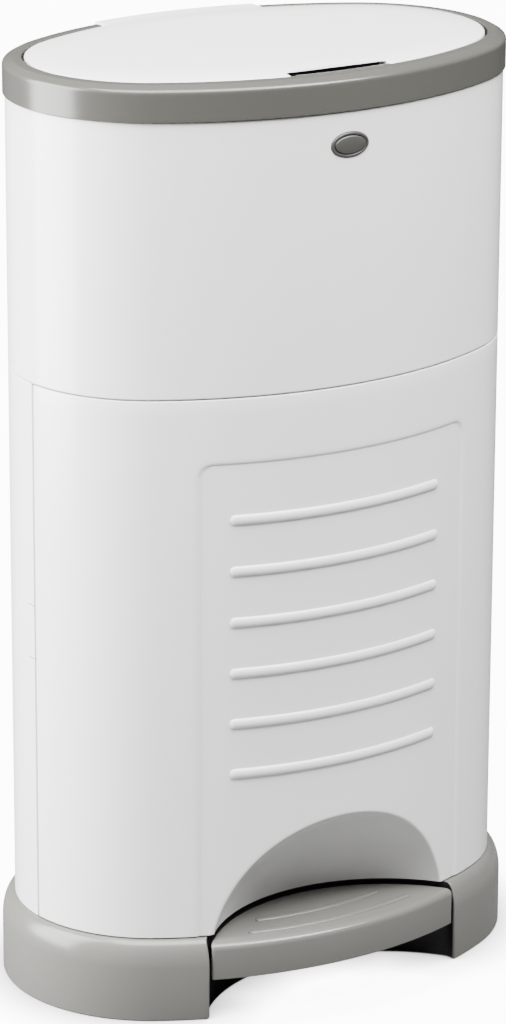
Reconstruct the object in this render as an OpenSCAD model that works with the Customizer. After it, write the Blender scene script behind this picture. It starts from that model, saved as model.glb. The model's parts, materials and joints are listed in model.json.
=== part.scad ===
// Oval nappy bin: a pedal lifts the lid through a push rod, a button frees the hinged top unit
// over the film cassette, and a front door opens on the bag chamber.
// +Z is up, the front faces -Y and the origin is the middle of the footprint on the floor.

/* [Body] */
// Length of the body's oval outline, left to right
body_len = 334; // [330:1:338]
// Depth of the body's oval outline, front to back
body_dep = 219.2; // [218:0.2:221]
// Radius of the outline's round ends
end_r = 90; // [89:0.5:91]
// Thickness of the moulded shells
wall = 2.8; // [2.6:0.1:3]

/* [Heights] */
// Top of the base, where the body starts
base_top = 53.2; // [52.8:0.1:53.6]
// Seam between the lower body and the upper casing
seam_z = 409.3; // [405:0.1:412]
// Underside of the rim ring
rim_z = 582.7; // [582.4:0.1:583]
// Top edge of the rim ring and of the lid
top_z = 605; // [604.8:0.1:605.4]
// Rise of the lid's middle over its edge
lid_crown = 1.4; // [1:0.1:2]

/* [Base and pedal] */
// Flare of the base skirt beyond the body
base_flare = 8.3; // [8:0.1:9]
// Radius of the pedal well's back, seen from above
well_r = 118; // [117.5:0.5:118.5]
// Distance of that arc's centre in front of the body's middle
well_cy = 168; // [167.5:0.5:168.5]
// Half width of the pedal well between its straight sides
well_hx = 92.7; // [92:0.1:93.4]
// Top face of the pedal at rest
pedal_top = 50.5; // [50:0.1:51]
// Lower edge of the pedal's front face at rest
pedal_low = 26.5; // [25:0.5:28]
// Swing of the pedal, in degrees
pedal_swing = 9; // [8.5:0.1:9.2]

/* [Door] */
// Half width of the recessed panel on the door
panel_hx = 98.8; // [97:0.1:100]
// Distance of the panel's middle line to the right of the body's
panel_cx = 2.2; // [1:0.1:3]
// Top edge of the recessed panel
panel_top = 367.8; // [366:0.1:370]
// Depth of the recessed panel
panel_depth = 1; // [0.8:0.1:1.2]
// Number of raised ribs
rib_count = 6; // [5:1:6]
// Middle height of the lowest rib
rib_z0 = 162.5; // [161:0.1:165]
// Distance from rib to rib
rib_pitch = 33.55; // [33:0.05:34]
// Half length of a rib
rib_hx = 76.5; // [70:0.5:80]
// Height of a rib on the panel
rib_h = 6.6; // [6:0.1:7]

/* [Lid and top unit] */
// Gap between the rim ring and the lid
lid_gap = 1.8; // [1.6:0.1:2]
// Half width of the lid's hinge tab at the back
tab_hx = 59; // [58.5:0.1:59.2]
// Swing of the lid, in degrees
lid_swing = 75; // [70:1:76]
// Inner radius of the hopper's throat
throat_r = 50; // [49:0.5:51]
// Half width of the finger slot
slot_hx = 35; // [33:0.5:36]
// Distance of the finger slot's middle to the right of the body's
slot_cx = 3; // [2:0.5:4]

/* [Release button] */
// Half width of the button's bezel
bezel_a = 13.4; // [13:0.1:13.8]
// Half height of the button's bezel
bezel_b = 8; // [7.6:0.1:8.4]
// Height of the button's middle
button_z = 561.5; // [561:0.1:562]
// Travel of the button
button_travel = 3; // [2:0.1:3]

/* [Hidden] */
$fn = 96;

// Colours of the mouldings and metal parts
white_shell = [0.93, 0.93, 0.93];
warm_grey = [0.56, 0.55, 0.52];
dark_grey = [0.2, 0.2, 0.2];
steel = [0.72, 0.73, 0.75];
black_rubber = [0.08, 0.08, 0.08];
film_blue = [0.8, 0.87, 0.93];

// Small gaps: a running fit, a seated fit and the clearance between separate mouldings
run_fit = 0.05;
seat_fit = 0.02;
part_gap = 0.3;
// Overshoot of cutting tools
eps = 1;

// The outline: two end arcs of end_r and two long arcs of big_r, tangent to each other
half_l = body_len / 2;
half_d = body_dep / 2;
end_cx = half_l - end_r;
big_r = (pow(end_cx, 2) + pow(half_d, 2) - pow(end_r, 2)) / (2 * (half_d - end_r));
big_cy = big_r - half_d;
tan_a = atan2(big_cy, end_cx);
core_e = -30;

// Base
skirt_z0 = 0.6;
skirt_straight = 36;
deck_t = 3;
deck_z = base_top - deck_t;
foot_x = 132;
foot_y = 38;
foot_h = 3;

// Body shells
joint_gap = 0.2;
seam_half = 0.75;
seam_y = -8.5;
screw_r = 1.6;
boss_r = 4.5;
boss_end_a = 45;
boss_in = 6.6;
boss_back_x = 55;
door_z0 = base_top + 1;
door_z1 = seam_z - 0.7;
door_axis_x = half_l - 3.8;
barrel_r = 3.6;
door_pin_r = 1.55;
flange_in = 12;
flange_t = 2.5;

// Catch behind the door's free edge, from the seam back to catch_y
catch_z0 = 228;
catch_z1 = 264;
catch_y = -1.2;

// Niche over the pedal: an arc in section, turned about the axis of the well's back
niche_t = 2.5;
niche_arc_r = 101.5;
niche_arc_x = 15;
niche_arc_z = 32.3;
niche_inner_r = 40;
niche_foot = 3;

// Pedal lever and push rod
axle_y = -30;
axle_z = 30;
axle_r = 3;
rod_y = 91.3;
rod_r = 4;
lever_arm = rod_y - axle_y;
rod_travel = lever_arm * sin(pedal_swing);
arm_x0 = 30;
arm_x1 = 38;
bump_z = 16;
bump_r = 4;
rod_play = 0.5;
foot_z0 = bump_z + bump_r + rod_play;

// Hinge shared by the lid and the top unit, and the crank finger on the lid
hinge_y = 103.5;
hinge_z = top_z - 6.5;
pin_r = 2;
knuckle_r = 4.2;
crank_r = rod_travel / (2 * sin(lid_swing / 2));
finger_r = 2.5;
finger_y = hinge_y - crank_r * cos(lid_swing / 2);
finger_z = hinge_z - crank_r * sin(lid_swing / 2);
pad_top = finger_z - finger_r - rod_play;

// Rim ring, deck and lid, as offsets from the outline
rim_out = 1.5;
rim_in = -10.5;
lid_e = rim_in - lid_gap;
lid_z0 = top_z - 3.5;
deck_top = top_z - 6.4;
deck_plate = 2.5;
bowl_e = -31;
bowl_t = 2.5;
seal_in = bowl_e + 1;
seal_out = bowl_e + 5;
slot_y = -88;
slot_roof = top_z - 0.1;
tongue_e = rim_in - 3.5;
notch_hx = tab_hx + 1.5;
casing_top = rim_z - 0.5;
casing_rise = 5.3;

// Throat, flaps, cassette and its tray
throat_y = -4;
throat_z0 = 500;
cone_z0 = 513;
cone_slope = 1.2;
flap_x = 57;
flap_z = 502.5;
flap_r = 52;
flap_pin_r = 1.5;
tray_z0 = 424.5;
tray_t = 4;
tray_hole_r = 80;
cassette_r = 87;
cassette_in = 70;
cassette_z0 = tray_z0 + tray_t + 0.2;
cassette_h = 46;

// Release latch
button_gap = 0.3;
bezel_t = 2;
slide_y = -102.8;
slide_t = 2.5;
latch_back_y = -93;
slide_hx = bezel_a - bezel_t - button_gap;

// Places of the screws that hold the rim ring to the hopper
rim_screw_a = 35;
rim_screw_e = -4.6;
rim_screw_at = [
    for (sx = [-1, 1], sy = [-1, 1]) [
        sx * (end_cx + (end_r + rim_screw_e) * cos(rim_screw_a)),
        sy * (end_r + rim_screw_e) * sin(rim_screw_a)
    ]
];

// The body's outline grown by e: two long arcs about y = -+big_cy and two round ends
module oval(e = 0) {
    reach = 2 * body_len;
    dx = reach * cos(tan_a);
    dy = reach * sin(tan_a);
    for (side = [0, 1]) {
        mirror([0, side]) intersection() {
            translate([0, big_cy]) circle(r = big_r + e);
            polygon([[-end_cx, 0], [end_cx, 0], [end_cx + dx, -dy], [-end_cx - dx, -dy]]);
        }
        mirror([side, 0]) intersection() {
            translate([end_cx, 0]) circle(r = end_r + e);
            polygon([[end_cx, 0], [end_cx + dx, -dy], [end_cx + reach, 0], [end_cx + dx, dy]]);
        }
    }
}

// A solid or a ring that stands on the outline, from z0 to z1
module oval_prism(e, z0, z1) {
    translate([0, 0, z0]) linear_extrude(z1 - z0) oval(e);
}

module oval_ring(e_out, e_in, z0, z1) {
    translate([0, 0, z0]) linear_extrude(z1 - z0) difference() {
        oval(e_out);
        oval(e_in);
    }
}

// A 2D profile swept round the outline: its x is the offset from the outline, its y is the height
module oval_sweep() {
    for (turn = [0, 180]) rotate([0, 0, turn]) {
        translate([0, big_cy, 0]) rotate_extrude(angle = 180 - 2 * tan_a, start = tan_a - 180)
            translate([big_r, 0]) children();
        translate([end_cx, 0, 0]) rotate_extrude(angle = 2 * tan_a, start = -tan_a)
            translate([end_r, 0]) children();
    }
}

// A box given by its two corners
module box(a, b) {
    translate(a) cube(b - a);
}

// A box as wide as the finger slot, grown by grow to the left and to the right
module slot_box(grow, y0, y1, z0, z1) {
    half = slot_hx + grow;
    box([slot_cx - half, y0, z0], [slot_cx + half, y1, z1]);
}

// A copy on the other side of the middle plane
module both_sides() {
    children();
    mirror([1, 0, 0]) children();
}

// A round bar along X from x0 to x1
module bar_x(r, x0, x1, y, z) {
    translate([x0, y, z]) rotate([0, 90, 0]) cylinder(r = r, h = x1 - x0);
}

// A round bar along Y from y0 to y1
module bar_y(r, y0, y1, x, z) {
    translate([x, y1, z]) rotate([90, 0, 0]) cylinder(r = r, h = y1 - y0);
}

// A self-tapping screw that points up, with the underside of its head at z
module screw(x, y, z, length, r = screw_r - 0.05, head_r = 3.4) {
    translate([x, y, z - 2.2]) cylinder(r = head_r, h = 2.2);
    translate([x, y, z - 0.1]) cylinder(r = r, h = length + 0.1);
}

// Places of the screw bosses inside the body: at the ends and along the back
boss_at = [
    for (side = [-1, 1]) [
        side * (end_cx + (end_r - boss_in) * cos(boss_end_a)), (end_r - boss_in) * sin(boss_end_a)
    ],
    for (side = [-1, 1]) [
        side * boss_back_x, sqrt(pow(big_r - boss_in, 2) - pow(boss_back_x, 2)) - big_cy
    ]
];

// Outside of the base in section: a straight skirt with a quarter ellipse as its shoulder
function skirt_profile(grow, z0, z1) = concat(
    [[core_e - 1, z0], [base_flare + grow, z0]],
    [for (a = [0 : 15 : 90]) [
        (base_flare + grow) * cos(a), skirt_straight + (z1 - skirt_straight) * sin(a)
    ]],
    [[core_e - 1, z1]]
);

module base_form(grow, z0, z1) {
    oval_sweep() polygon(skirt_profile(grow, z0, z1));
    oval_prism(core_e, z0, z1);
}

// The pedal well: a round back, grown by r_grow, between straight sides, grown by x_grow
module well_prism(r_grow, x_grow, z0, z1) {
    intersection() {
        translate([0, -well_cy, z0]) cylinder(r = well_r + r_grow, h = z1 - z0, $fn = 180);
        box([-well_hx - x_grow, -2 * half_d, z0], [well_hx + x_grow, 0, z1]);
    }
}

module base_skirt() color(warm_grey) {
    well_t = 2.5;
    slot_x = 2;
    difference() {
        union() {
            difference() {
                base_form(0, skirt_z0, base_top);
                base_form(-wall, skirt_z0 - eps, deck_z);
            }
            intersection() {
                base_form(-0.2, skirt_z0, base_top);
                well_prism(well_t, well_t, 0, base_top);
            }
            both_sides() for (side = [-1, 1])
                translate([foot_x, side * foot_y, foot_h]) cylinder(r = 11, h = base_top - foot_h);
            translate([door_axis_x, 0, deck_z - 7]) cylinder(r = 5, h = 8);
        }
        well_prism(0, 0, 0, base_top + eps);
        both_sides() {
            for (side = [-1, 1])
                translate([foot_x, side * foot_y, 0]) cylinder(r = 4 + seat_fit, h = foot_h + 9);
            box([arm_x0 - slot_x, -70, 17], [arm_x1 + slot_x, -46, 49]);
        }
        translate([0, rod_y, deck_z - eps]) cylinder(r = rod_r + 1.5, h = deck_t + 2 * eps);
        translate([door_axis_x, 0, deck_z - 5])
            cylinder(r = door_pin_r + seat_fit, h = deck_t + 5 + eps);
        for (p = boss_at)
            translate([p[0], p[1], deck_z - eps]) cylinder(r = screw_r + 0.1, h = deck_t + 2 * eps);
    }
}

module rubber_feet() color(black_rubber) {
    both_sides() for (side = [-1, 1]) translate([foot_x, side * foot_y, 0]) {
        cylinder(r = 10, h = foot_h);
        cylinder(r = 4, h = foot_h + 8);
    }
}

module floor_tray() color(white_shell) {
    tray_e = -15;
    floor_t = 2;
    rim_h = 5;
    difference() {
        union() {
            oval_prism(tray_e, base_top, base_top + floor_t);
            oval_ring(tray_e, tray_e - floor_t, base_top, base_top + rim_h);
        }
        well_prism(6, 6, base_top - eps, base_top + rim_h + eps);
        box([-13, 80, base_top - eps], [13, half_d, base_top + rim_h + eps]);
        for (p = boss_at) translate([p[0], p[1], base_top - eps])
            cylinder(r = boss_r + 1, h = rim_h + 2 * eps);
    }
}

module base_screws() color(steel) {
    for (p = boss_at) screw(p[0], p[1], deck_z, 16);
}

// Half space behind the body's side seam, with room for the door's barrel on the right
module rear_zone(z0, z1) {
    right_y = barrel_r + 0.8;
    box([-2 * half_l, seam_y + seam_half, z0], [0, 2 * half_d, z1]);
    box([-eps, right_y, z0], [2 * half_l, 2 * half_d, z1]);
}

module rear_shell() color(white_shell) {
    z0 = base_top + joint_gap;
    z1 = seam_z - joint_gap;
    difference() {
        intersection() {
            union() {
                oval_ring(0, -wall, z0, z1);
                oval_ring(-wall / 2, -flange_in, z1 - wall, z1);
                intersection() {
                    oval_ring(-wall / 2, -flange_in, z0, z1);
                    union() {
                        box([-2 * half_l, seam_y, z0], [0, seam_y + seam_half + flange_t, z1]);
                        box([0, 0, z0], [2 * half_l, barrel_r + 0.8 + flange_t, z1]);
                    }
                }
                intersection() {
                    for (p = boss_at)
                        translate([p[0], p[1], z0]) cylinder(r = boss_r, h = 20);
                    oval_prism(-wall / 2, z0, z1);
                }
            }
            rear_zone(z0, z1);
        }
        for (p = boss_at) {
            translate([p[0], p[1], z0 - eps]) cylinder(r = screw_r, h = 18);
            translate([p[0], p[1], z1 - 2 * wall]) cylinder(r = screw_r + 0.1, h = 3 * wall);
        }
        box([-14, 80, z1 - 2 * wall], [14, rod_y + rod_r + 2.5, z1 + eps]);
        // Notch for the catch
        box([-2 * half_l, 2 * seam_y, catch_z0], [-half_l + 14, catch_y, catch_z1]);
    }
}

// Channel that keeps the bag off the push rod
module rod_cover() color(white_shell) {
    z0 = base_top + 4;
    z1 = seam_z - 6;
    hx = 11;
    front_y = 84.5;
    skin = 1.6;
    intersection() {
        difference() {
            box([-hx, front_y, z0], [hx, half_d, z1]);
            box([-hx + skin, front_y + skin, z0 - eps], [hx - skin, half_d + eps, z1 + eps]);
        }
        oval_prism(-wall - part_gap, z0, z1);
    }
}

// Block on the back wall with a bore for the push rod
module rod_guide(z0, hx = 8.5, h = 12) color(dark_grey) {
    difference() {
        intersection() {
            box([-hx, 86.8, z0], [hx, half_d, z0 + h]);
            oval_prism(-wall - 0.05, z0, z0 + h);
        }
        translate([0, rod_y, z0 - eps]) cylinder(r = rod_r + run_fit, h = h + 2 * eps);
    }
}

module rod_guide_low() rod_guide(66);
module rod_guide_mid() rod_guide(seam_z - 26);
module rod_guide_top() rod_guide(535);

// Bearing block that hangs under the deck
module pedal_bearing() color(dark_grey) {
    x0 = arm_x1 + 6;
    difference() {
        box([x0, axle_y - 11, 20], [x0 + 10, axle_y + 11, deck_z]);
        bar_x(axle_r + seat_fit, x0 - eps, x0 + 10 + eps, axle_y, axle_z);
    }
}

module pedal_bearing_left() mirror([1, 0, 0]) pedal_bearing();
module pedal_bearing_right() pedal_bearing();

module pedal_axle() color(steel) {
    bar_x(axle_r, -arm_x1 - 17, arm_x1 + 17, axle_y, axle_z);
}

module pedal_return_spring() color(steel) {
    hx = 20;
    difference() {
        bar_x(6, -hx, hx, axle_y, axle_z);
        bar_x(axle_r + 0.4, -hx - eps, hx + eps, axle_y, axle_z);
    }
}

// Body of the pedal: front arc, rounded front edge and a back that follows the well
module pedal_form(inset, z0, z1, round_r) {
    e_front = base_flare - 1 - inset;
    intersection() {
        translate([0, big_cy, 0]) rotate_extrude(angle = 56, start = -118) polygon(concat(
            [[big_r - 75, z0], [big_r + e_front, z0]],
            [for (a = [0 : 18 : 90]) [
                big_r + e_front + round_r * (cos(a) - 1), z1 + round_r * (sin(a) - 1)
            ]],
            [[big_r - 75, z1]]
        ));
        well_prism(-3 - inset, -2 - inset, 0, z1 + eps);
    }
}

module pedal_pad() color(warm_grey) {
    skin = 2.8;
    ridge_h = 1.2;
    ridge_w = 3;
    difference() {
        union() {
            difference() {
                pedal_form(0, pedal_low, pedal_top, 4);
                pedal_form(skin, pedal_low - eps, pedal_top - skin, 1.5);
            }
            for (ridge = [[-11.6, 27], [-26.6, 22]])
                translate([0, big_cy, pedal_top - 0.2])
                    rotate_extrude(angle = ridge[1], start = -90 - ridge[1] / 2)
                        translate([big_r + ridge[0] - ridge_w / 2, 0])
                            square([ridge_w, ridge_h + 0.2]);
        }
        both_sides() {
            box([arm_x0 - 0.5, -70, pedal_low - eps], [arm_x1 + 0.5, -48, pedal_top - skin]);
            for (y = [-90, -70]) translate([arm_x0 - 10, y, pedal_top - skin - eps])
                cylinder(r = screw_r, h = eps + 1.9);
        }
    }
}

// Lever: two side arms on the axle, a plate under the pedal and a cross bar under the rod
module pedal_lever() color(steel) {
    plate_z1 = pedal_top - wall;
    plate_z0 = plate_z1 - 3;
    difference() {
        union() {
            both_sides() {
                translate([arm_x1, 0, 0]) rotate([90, 0, -90]) linear_extrude(arm_x1 - arm_x0)
                    polygon([
                        [98, plate_z1], [98, plate_z0 - 4], [58, 34], [38, 24], [22, 23],
                        [-60, 11], [-96, 11], [-96, 19], [-60, 20], [18, 37], [40, 43],
                        [58, plate_z1]
                    ]);
                bar_x(7, arm_x0, arm_x1, axle_y, axle_z);
            }
            box([-arm_x1, -98, plate_z0], [arm_x1, -62, plate_z1]);
            box([-arm_x1, rod_y - 5, 11], [arm_x1, rod_y + 5, 18.5]);
            bar_x(bump_r, -8, 8, rod_y, bump_z);
        }
        bar_x(axle_r + run_fit, -arm_x1 - eps, arm_x1 + eps, axle_y, axle_z);
        both_sides() for (y = [-90, -70])
            translate([arm_x0 - 10, y, plate_z0 - eps]) cylinder(r = screw_r + 0.1, h = 5);
    }
}

module lever_screws() color(steel) {
    both_sides() for (y = [-90, -70]) screw(arm_x0 - 10, y, pedal_top - wall - 3, 4.6);
}

module push_rod() color(steel) {
    translate([0, rod_y, foot_z0 + 3.5]) cylinder(r = rod_r, h = pad_top - foot_z0 - 8);
}

module rod_foot() color(dark_grey) {
    difference() {
        translate([0, rod_y, foot_z0]) cylinder(r = 6.5, h = 10);
        translate([0, rod_y, foot_z0 + 3.5]) cylinder(r = rod_r + seat_fit, h = 10);
    }
}

module rod_pad() color(dark_grey) {
    difference() {
        box([-6, 86.2, pad_top - 9], [6, 95.8, pad_top]);
        translate([0, rod_y, pad_top - 10]) cylinder(r = rod_r + seat_fit, h = 10 - 4.5);
    }
}

// Section of the niche: an arc that leans in over the pedal
function niche_profile(grow, z0) = let (
    ar = niche_arc_r + grow,
    low_a = asin((z0 - niche_arc_z) / ar),
    high_a = acos((niche_inner_r - niche_arc_x) / ar)
) concat(
    [[0, z0]],
    [for (i = [0 : 10]) let (a = low_a + (high_a - low_a) * i / 10) [
        niche_arc_x + ar * cos(a), niche_arc_z + ar * sin(a)
    ]],
    [[0, niche_arc_z + ar * sin(high_a)]]
);

module niche(grow, z0) {
    translate([0, -well_cy, 0]) rotate_extrude($fn = 180) polygon(niche_profile(grow, z0));
}

// Front view of the recessed panel, with round upper corners
module panel_outline() {
    corner = 10;
    translate([panel_cx, 0]) {
        translate([-panel_hx, 0]) square([2 * panel_hx, panel_top - corner]);
        translate([-panel_hx + corner, 0]) square([2 * (panel_hx - corner), panel_top]);
        for (side = [-1, 1]) translate([side * (panel_hx - corner), panel_top - corner])
            circle(r = corner);
    }
}

module front_stamp(depth) {
    rotate([90, 0, 0]) linear_extrude(depth) children();
}

// Raised ribs with round ends, all alike
module ribs() {
    rise = 0.3;
    intersection() {
        oval_ring(rise, -wall / 2 - panel_depth, door_z0, door_z1);
        front_stamp(half_d + 5) for (i = [0 : rib_count - 1]) translate([0, rib_z0 + i * rib_pitch]) {
            square([2 * rib_hx - rib_h, rib_h], center = true);
            for (side = [-1, 1]) translate([side * (rib_hx - rib_h / 2), 0]) circle(d = rib_h);
        }
    }
}

// All in front of the side seam and of the door's hinge
module front_zone(z0, z1) {
    box([-2 * half_l, -2 * half_d, z0], [0, seam_y - seam_half, z1]);
    box([-eps, -2 * half_d, z0], [2 * half_l, -seam_half, z1]);
}

module door_panel() color(white_shell) {
    pin_depth = 12;
    difference() {
        union() {
            intersection() {
                union() {
                    oval_ring(0, -wall, door_z0, door_z1);
                    oval_ring(-wall / 2, -8, door_z1 - wall, door_z1);
                    oval_ring(-wall / 2, -8, door_z0, door_z0 + wall);
                    intersection() {
                        oval_ring(-wall / 2, -flange_in, door_z0, door_z1);
                        box([-2 * half_l, seam_y - seam_half - flange_t, door_z0], [0, 0, door_z1]);
                    }
                    intersection() {
                        niche(niche_t, door_z0);
                        oval_prism(-wall / 2, door_z0, door_z1);
                    }
                    // Foot of the niche's wall over the edge of the base's deck
                    intersection() {
                        niche(niche_t + niche_foot, door_z0);
                        oval_prism(-wall / 2, door_z0, door_z0 + 2);
                    }
                }
                front_zone(door_z0, door_z1);
            }
            translate([door_axis_x, 0, door_z0]) cylinder(r = barrel_r, h = door_z1 - door_z0);
        }
        niche(0, door_z0 - eps);
        intersection() {
            oval_ring(eps, -panel_depth, door_z0 - eps, door_z1);
            front_stamp(half_d + 5) panel_outline();
        }
        for (z = [door_z0 - eps, door_z1 - pin_depth])
            translate([door_axis_x, 0, z]) cylinder(r = door_pin_r + run_fit, h = pin_depth + eps);
    }
    ribs();
}

// Catch that fills the notch in the rear shell's edge, next to the door's free edge
module door_catch() color(white_shell) {
    intersection() {
        union() {
            oval_ring(0, -wall, catch_z0 + seam_half, catch_z1 - seam_half);
            oval_ring(-wall, -flange_in - 3, catch_z0 + 8, catch_z1 - 8);
        }
        box([-2 * half_l, seam_y + seam_half, 0], [-half_l + 9, catch_y, seam_z]);
    }
}

module door_hinge_pins() color(steel) {
    translate([door_axis_x, 0, deck_z - 4.9]) cylinder(r = door_pin_r, h = deck_t + 4.9 + 11);
    translate([door_axis_x, 0, door_z1 - 11]) cylinder(r = door_pin_r, h = 18);
}

// Front view of the button's bezel, an ellipse grown by e
module bezel_outline(e) {
    polygon([for (a = [0 : 7.5 : 352.5]) [(bezel_a + e) * cos(a), (bezel_b + e) * sin(a)]]);
}

module button_stamp(y0, y1) {
    translate([0, y1, button_z]) rotate([90, 0, 0]) linear_extrude(y1 - y0) children();
}

module upper_casing() color(white_shell) {
    z0 = seam_z + joint_gap;
    ledge_z = tray_z0 - 0.2;
    difference() {
        union() {
            oval_ring(0, -wall, z0, casing_top);
            intersection() {
                oval_ring(0, -wall, z0, casing_top + casing_rise);
                box([-tab_hx, half_d / 2, z0], [tab_hx, 2 * half_d, casing_top + casing_rise]);
            }
            oval_ring(-wall / 2, -9, z0, z0 + wall);
            oval_ring(-wall / 2, -9, ledge_z - wall, ledge_z);
            intersection() {
                for (p = boss_at)
                    translate([p[0], p[1], z0]) cylinder(r = boss_r, h = ledge_z - z0 - eps);
                oval_prism(-wall / 2, z0, casing_top);
            }
            intersection() {
                translate([door_axis_x - 1, 0, z0]) cylinder(r = 6, h = 9);
                oval_prism(-wall / 2, z0, casing_top);
            }
        }
        button_stamp(-half_d - 5, -half_d + 6) bezel_outline(run_fit);
        translate([door_axis_x, 0, z0 - eps]) cylinder(r = door_pin_r + seat_fit, h = 8.5);
        for (p = boss_at)
            translate([p[0], p[1], z0 - eps]) cylinder(r = screw_r, h = 10);
    }
}

module casing_screws() color(steel) {
    for (p = boss_at) screw(p[0], p[1], seam_z - joint_gap - wall, 10);
}

module cassette_tray() color(white_shell) {
    difference() {
        oval_prism(-wall - part_gap, tray_z0, tray_z0 + tray_t);
        translate([0, throat_y, tray_z0 - eps]) cylinder(r = tray_hole_r, h = tray_t + 2 * eps);
        translate([0, rod_y, tray_z0 - eps]) cylinder(r = rod_r + 2, h = tray_t + 2 * eps);
    }
}

module ring(r_out, r_in, z0, z1) {
    translate([0, throat_y, 0]) difference() {
        translate([0, 0, z0]) cylinder(r = r_out, h = z1 - z0);
        translate([0, 0, z0 - eps]) cylinder(r = r_in, h = z1 - z0 + 2 * eps);
    }
}

// Round cassette: a channel that is open at the top, with the film packed in it
module film_cassette() color(warm_grey) {
    skin = 2;
    difference() {
        ring(cassette_r, cassette_in, cassette_z0, cassette_z0 + cassette_h);
        ring(cassette_r - skin, cassette_in + skin, cassette_z0 + skin,
            cassette_z0 + cassette_h + eps);
    }
}

module film_pack() color(film_blue) {
    ring(cassette_r - 2.2, cassette_in + 2.2, cassette_z0 + 2, cassette_z0 + cassette_h - 5);
}

// Cutter under the tray: a guard with a slot for the film, and a short blade across the slot
module cutter_housing() color(warm_grey) {
    difference() {
        box([-134, -26, tray_z0 - 13], [-96, 26, tray_z0]);
        box([-135, -2, tray_z0 - 14], [-100, 2, tray_z0 - 3]);
        box([-121.6, -9, tray_z0 - 11], [-120, 9, tray_z0 - 4]);
    }
}

module cutter_blade() color(steel) {
    box([-121.4, -8.8, tray_z0 - 10.8], [-120.2, 8.8, tray_z0 - 4]);
}

// Side view of a hinge lug, with the hinge axis at the origin
module lug_side() {
    polygon([
        [0, 1.2], [-12, 1.2], [-19, -4], [-19, -38], [-11, -38], [-11, -8], [-4, -3.9], [0, -4]
    ]);
    circle(r = knuckle_r);
}

// A side view in Y and Z, drawn from the hinge axis and extruded along X from x0 to x1
module side_piece(x0, x1) {
    translate([x0, hinge_y, hinge_z]) rotate([90, 0, 90]) linear_extrude(x1 - x0) children();
}

module hinge_bracket() color(white_shell) {
    lug_x0 = 50;
    lug_x1 = 58;
    plate_z0 = hinge_z - 38;
    plate_z1 = hinge_z - 24;
    difference() {
        union() {
            both_sides() {
                side_piece(lug_x0, lug_x1) lug_side();
                intersection() {
                    box([lug_x0, hinge_y - 19, plate_z0], [lug_x1, half_d, plate_z1]);
                    oval_prism(-wall - 0.05, plate_z0, plate_z1);
                }
            }
            intersection() {
                oval_ring(-wall - 0.05, -wall - 3, plate_z0, plate_z1);
                box([-lug_x1, 0, plate_z0], [lug_x1, half_d, plate_z1]);
            }
        }
        bar_x(pin_r + seat_fit, -lug_x1 - eps, lug_x1 + eps, hinge_y, hinge_z);
    }
}

module top_hinge_pin() color(steel) {
    bar_x(pin_r, -58.5, 58.5, hinge_y, hinge_z);
}

// Section of the rim ring: outside leg, rounded top and inside leg
function rim_outer() = [
    [rim_out, rim_z], [rim_out, top_z - 4.6], [rim_out - 0.5, top_z - 3], [rim_out - 1.8, top_z - 1.7],
    [rim_out - 4, top_z - 0.8], [rim_out - 7, top_z - 0.2], [rim_in + 1, top_z],
    [rim_in + 0.3, top_z - 0.2], [rim_in, top_z - 0.9], [rim_in, deck_top]
];
rim_cavity = [
    [rim_in + 2, deck_top - eps], [rim_in + 2, top_z - 2.5], [rim_out - 5, top_z - 3.2],
    [rim_out - 2.5, top_z - 5], [rim_out - 2.5, rim_z - eps], [rim_out - 5, rim_z - eps]
];

module rim_ring() color(warm_grey) {
    end_wall = 2;
    screw_top = 4;
    step_z = deck_top - deck_plate - 0.3;
    difference() {
        union() {
            difference() {
                oval_sweep() polygon(concat(rim_outer(), [[rim_out - 5, deck_top], [rim_out - 5, rim_z]]));
                oval_sweep() polygon(rim_cavity);
            }
            // Core of the ring's top, inside the curved skin
            oval_ring(rim_out - 4.5, rim_in + 2, top_z - 2.2, top_z - 1.1);
            intersection() {
                oval_sweep() polygon(concat(rim_outer(), [[rim_out - 3, deck_top], [rim_out - 3, rim_z]]));
                both_sides() box([notch_hx, 0, rim_z], [notch_hx + end_wall, 2 * half_d, top_z]);
            }
            intersection() {
                for (p = rim_screw_at)
                    translate([p[0], p[1], deck_top]) cylinder(r = 3.2, h = top_z - 2 - deck_top);
                oval_prism(0, deck_top, top_z);
            }
            // Tongue in front of the finger slot
            intersection() {
                oval_ring(rim_in + 1, tongue_e, deck_top, top_z - 0.2);
                slot_box(-1, -2 * half_d, 0, deck_top, top_z);
            }
        }
        box([-notch_hx, half_d / 2, rim_z - eps], [notch_hx, 2 * half_d, top_z + eps]);
        // The outside leg alone reaches below the deck
        oval_prism(rim_out - 2.5, rim_z - eps, step_z);
        for (p = rim_screw_at)
            translate([p[0], p[1], deck_top - eps]) cylinder(r = 1.25, h = eps + screw_top);
    }
}

// Funnel: an oval well that runs into a cone and a round throat
module funnel(e, grow, z0, z1) {
    cone_h = z1 - cone_z0;
    intersection() {
        oval_prism(e, z0, z1);
        translate([0, throat_y, 0]) {
            translate([0, 0, cone_z0])
                cylinder(r1 = throat_r + grow, r2 = throat_r + grow + cone_slope * cone_h, h = cone_h);
            translate([0, 0, z0]) cylinder(r = throat_r + min(grow, bowl_t), h = cone_z0 - z0 + 0.5);
        }
    }
}

module flap_lugs() {
    both_sides() for (side = [-1, 1]) translate([0, throat_y + side * 20, 0])
        box([throat_r - 2.8, -3, throat_z0 - 0.2], [flap_x + 4, 3, flap_z + 6]);
}

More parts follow.
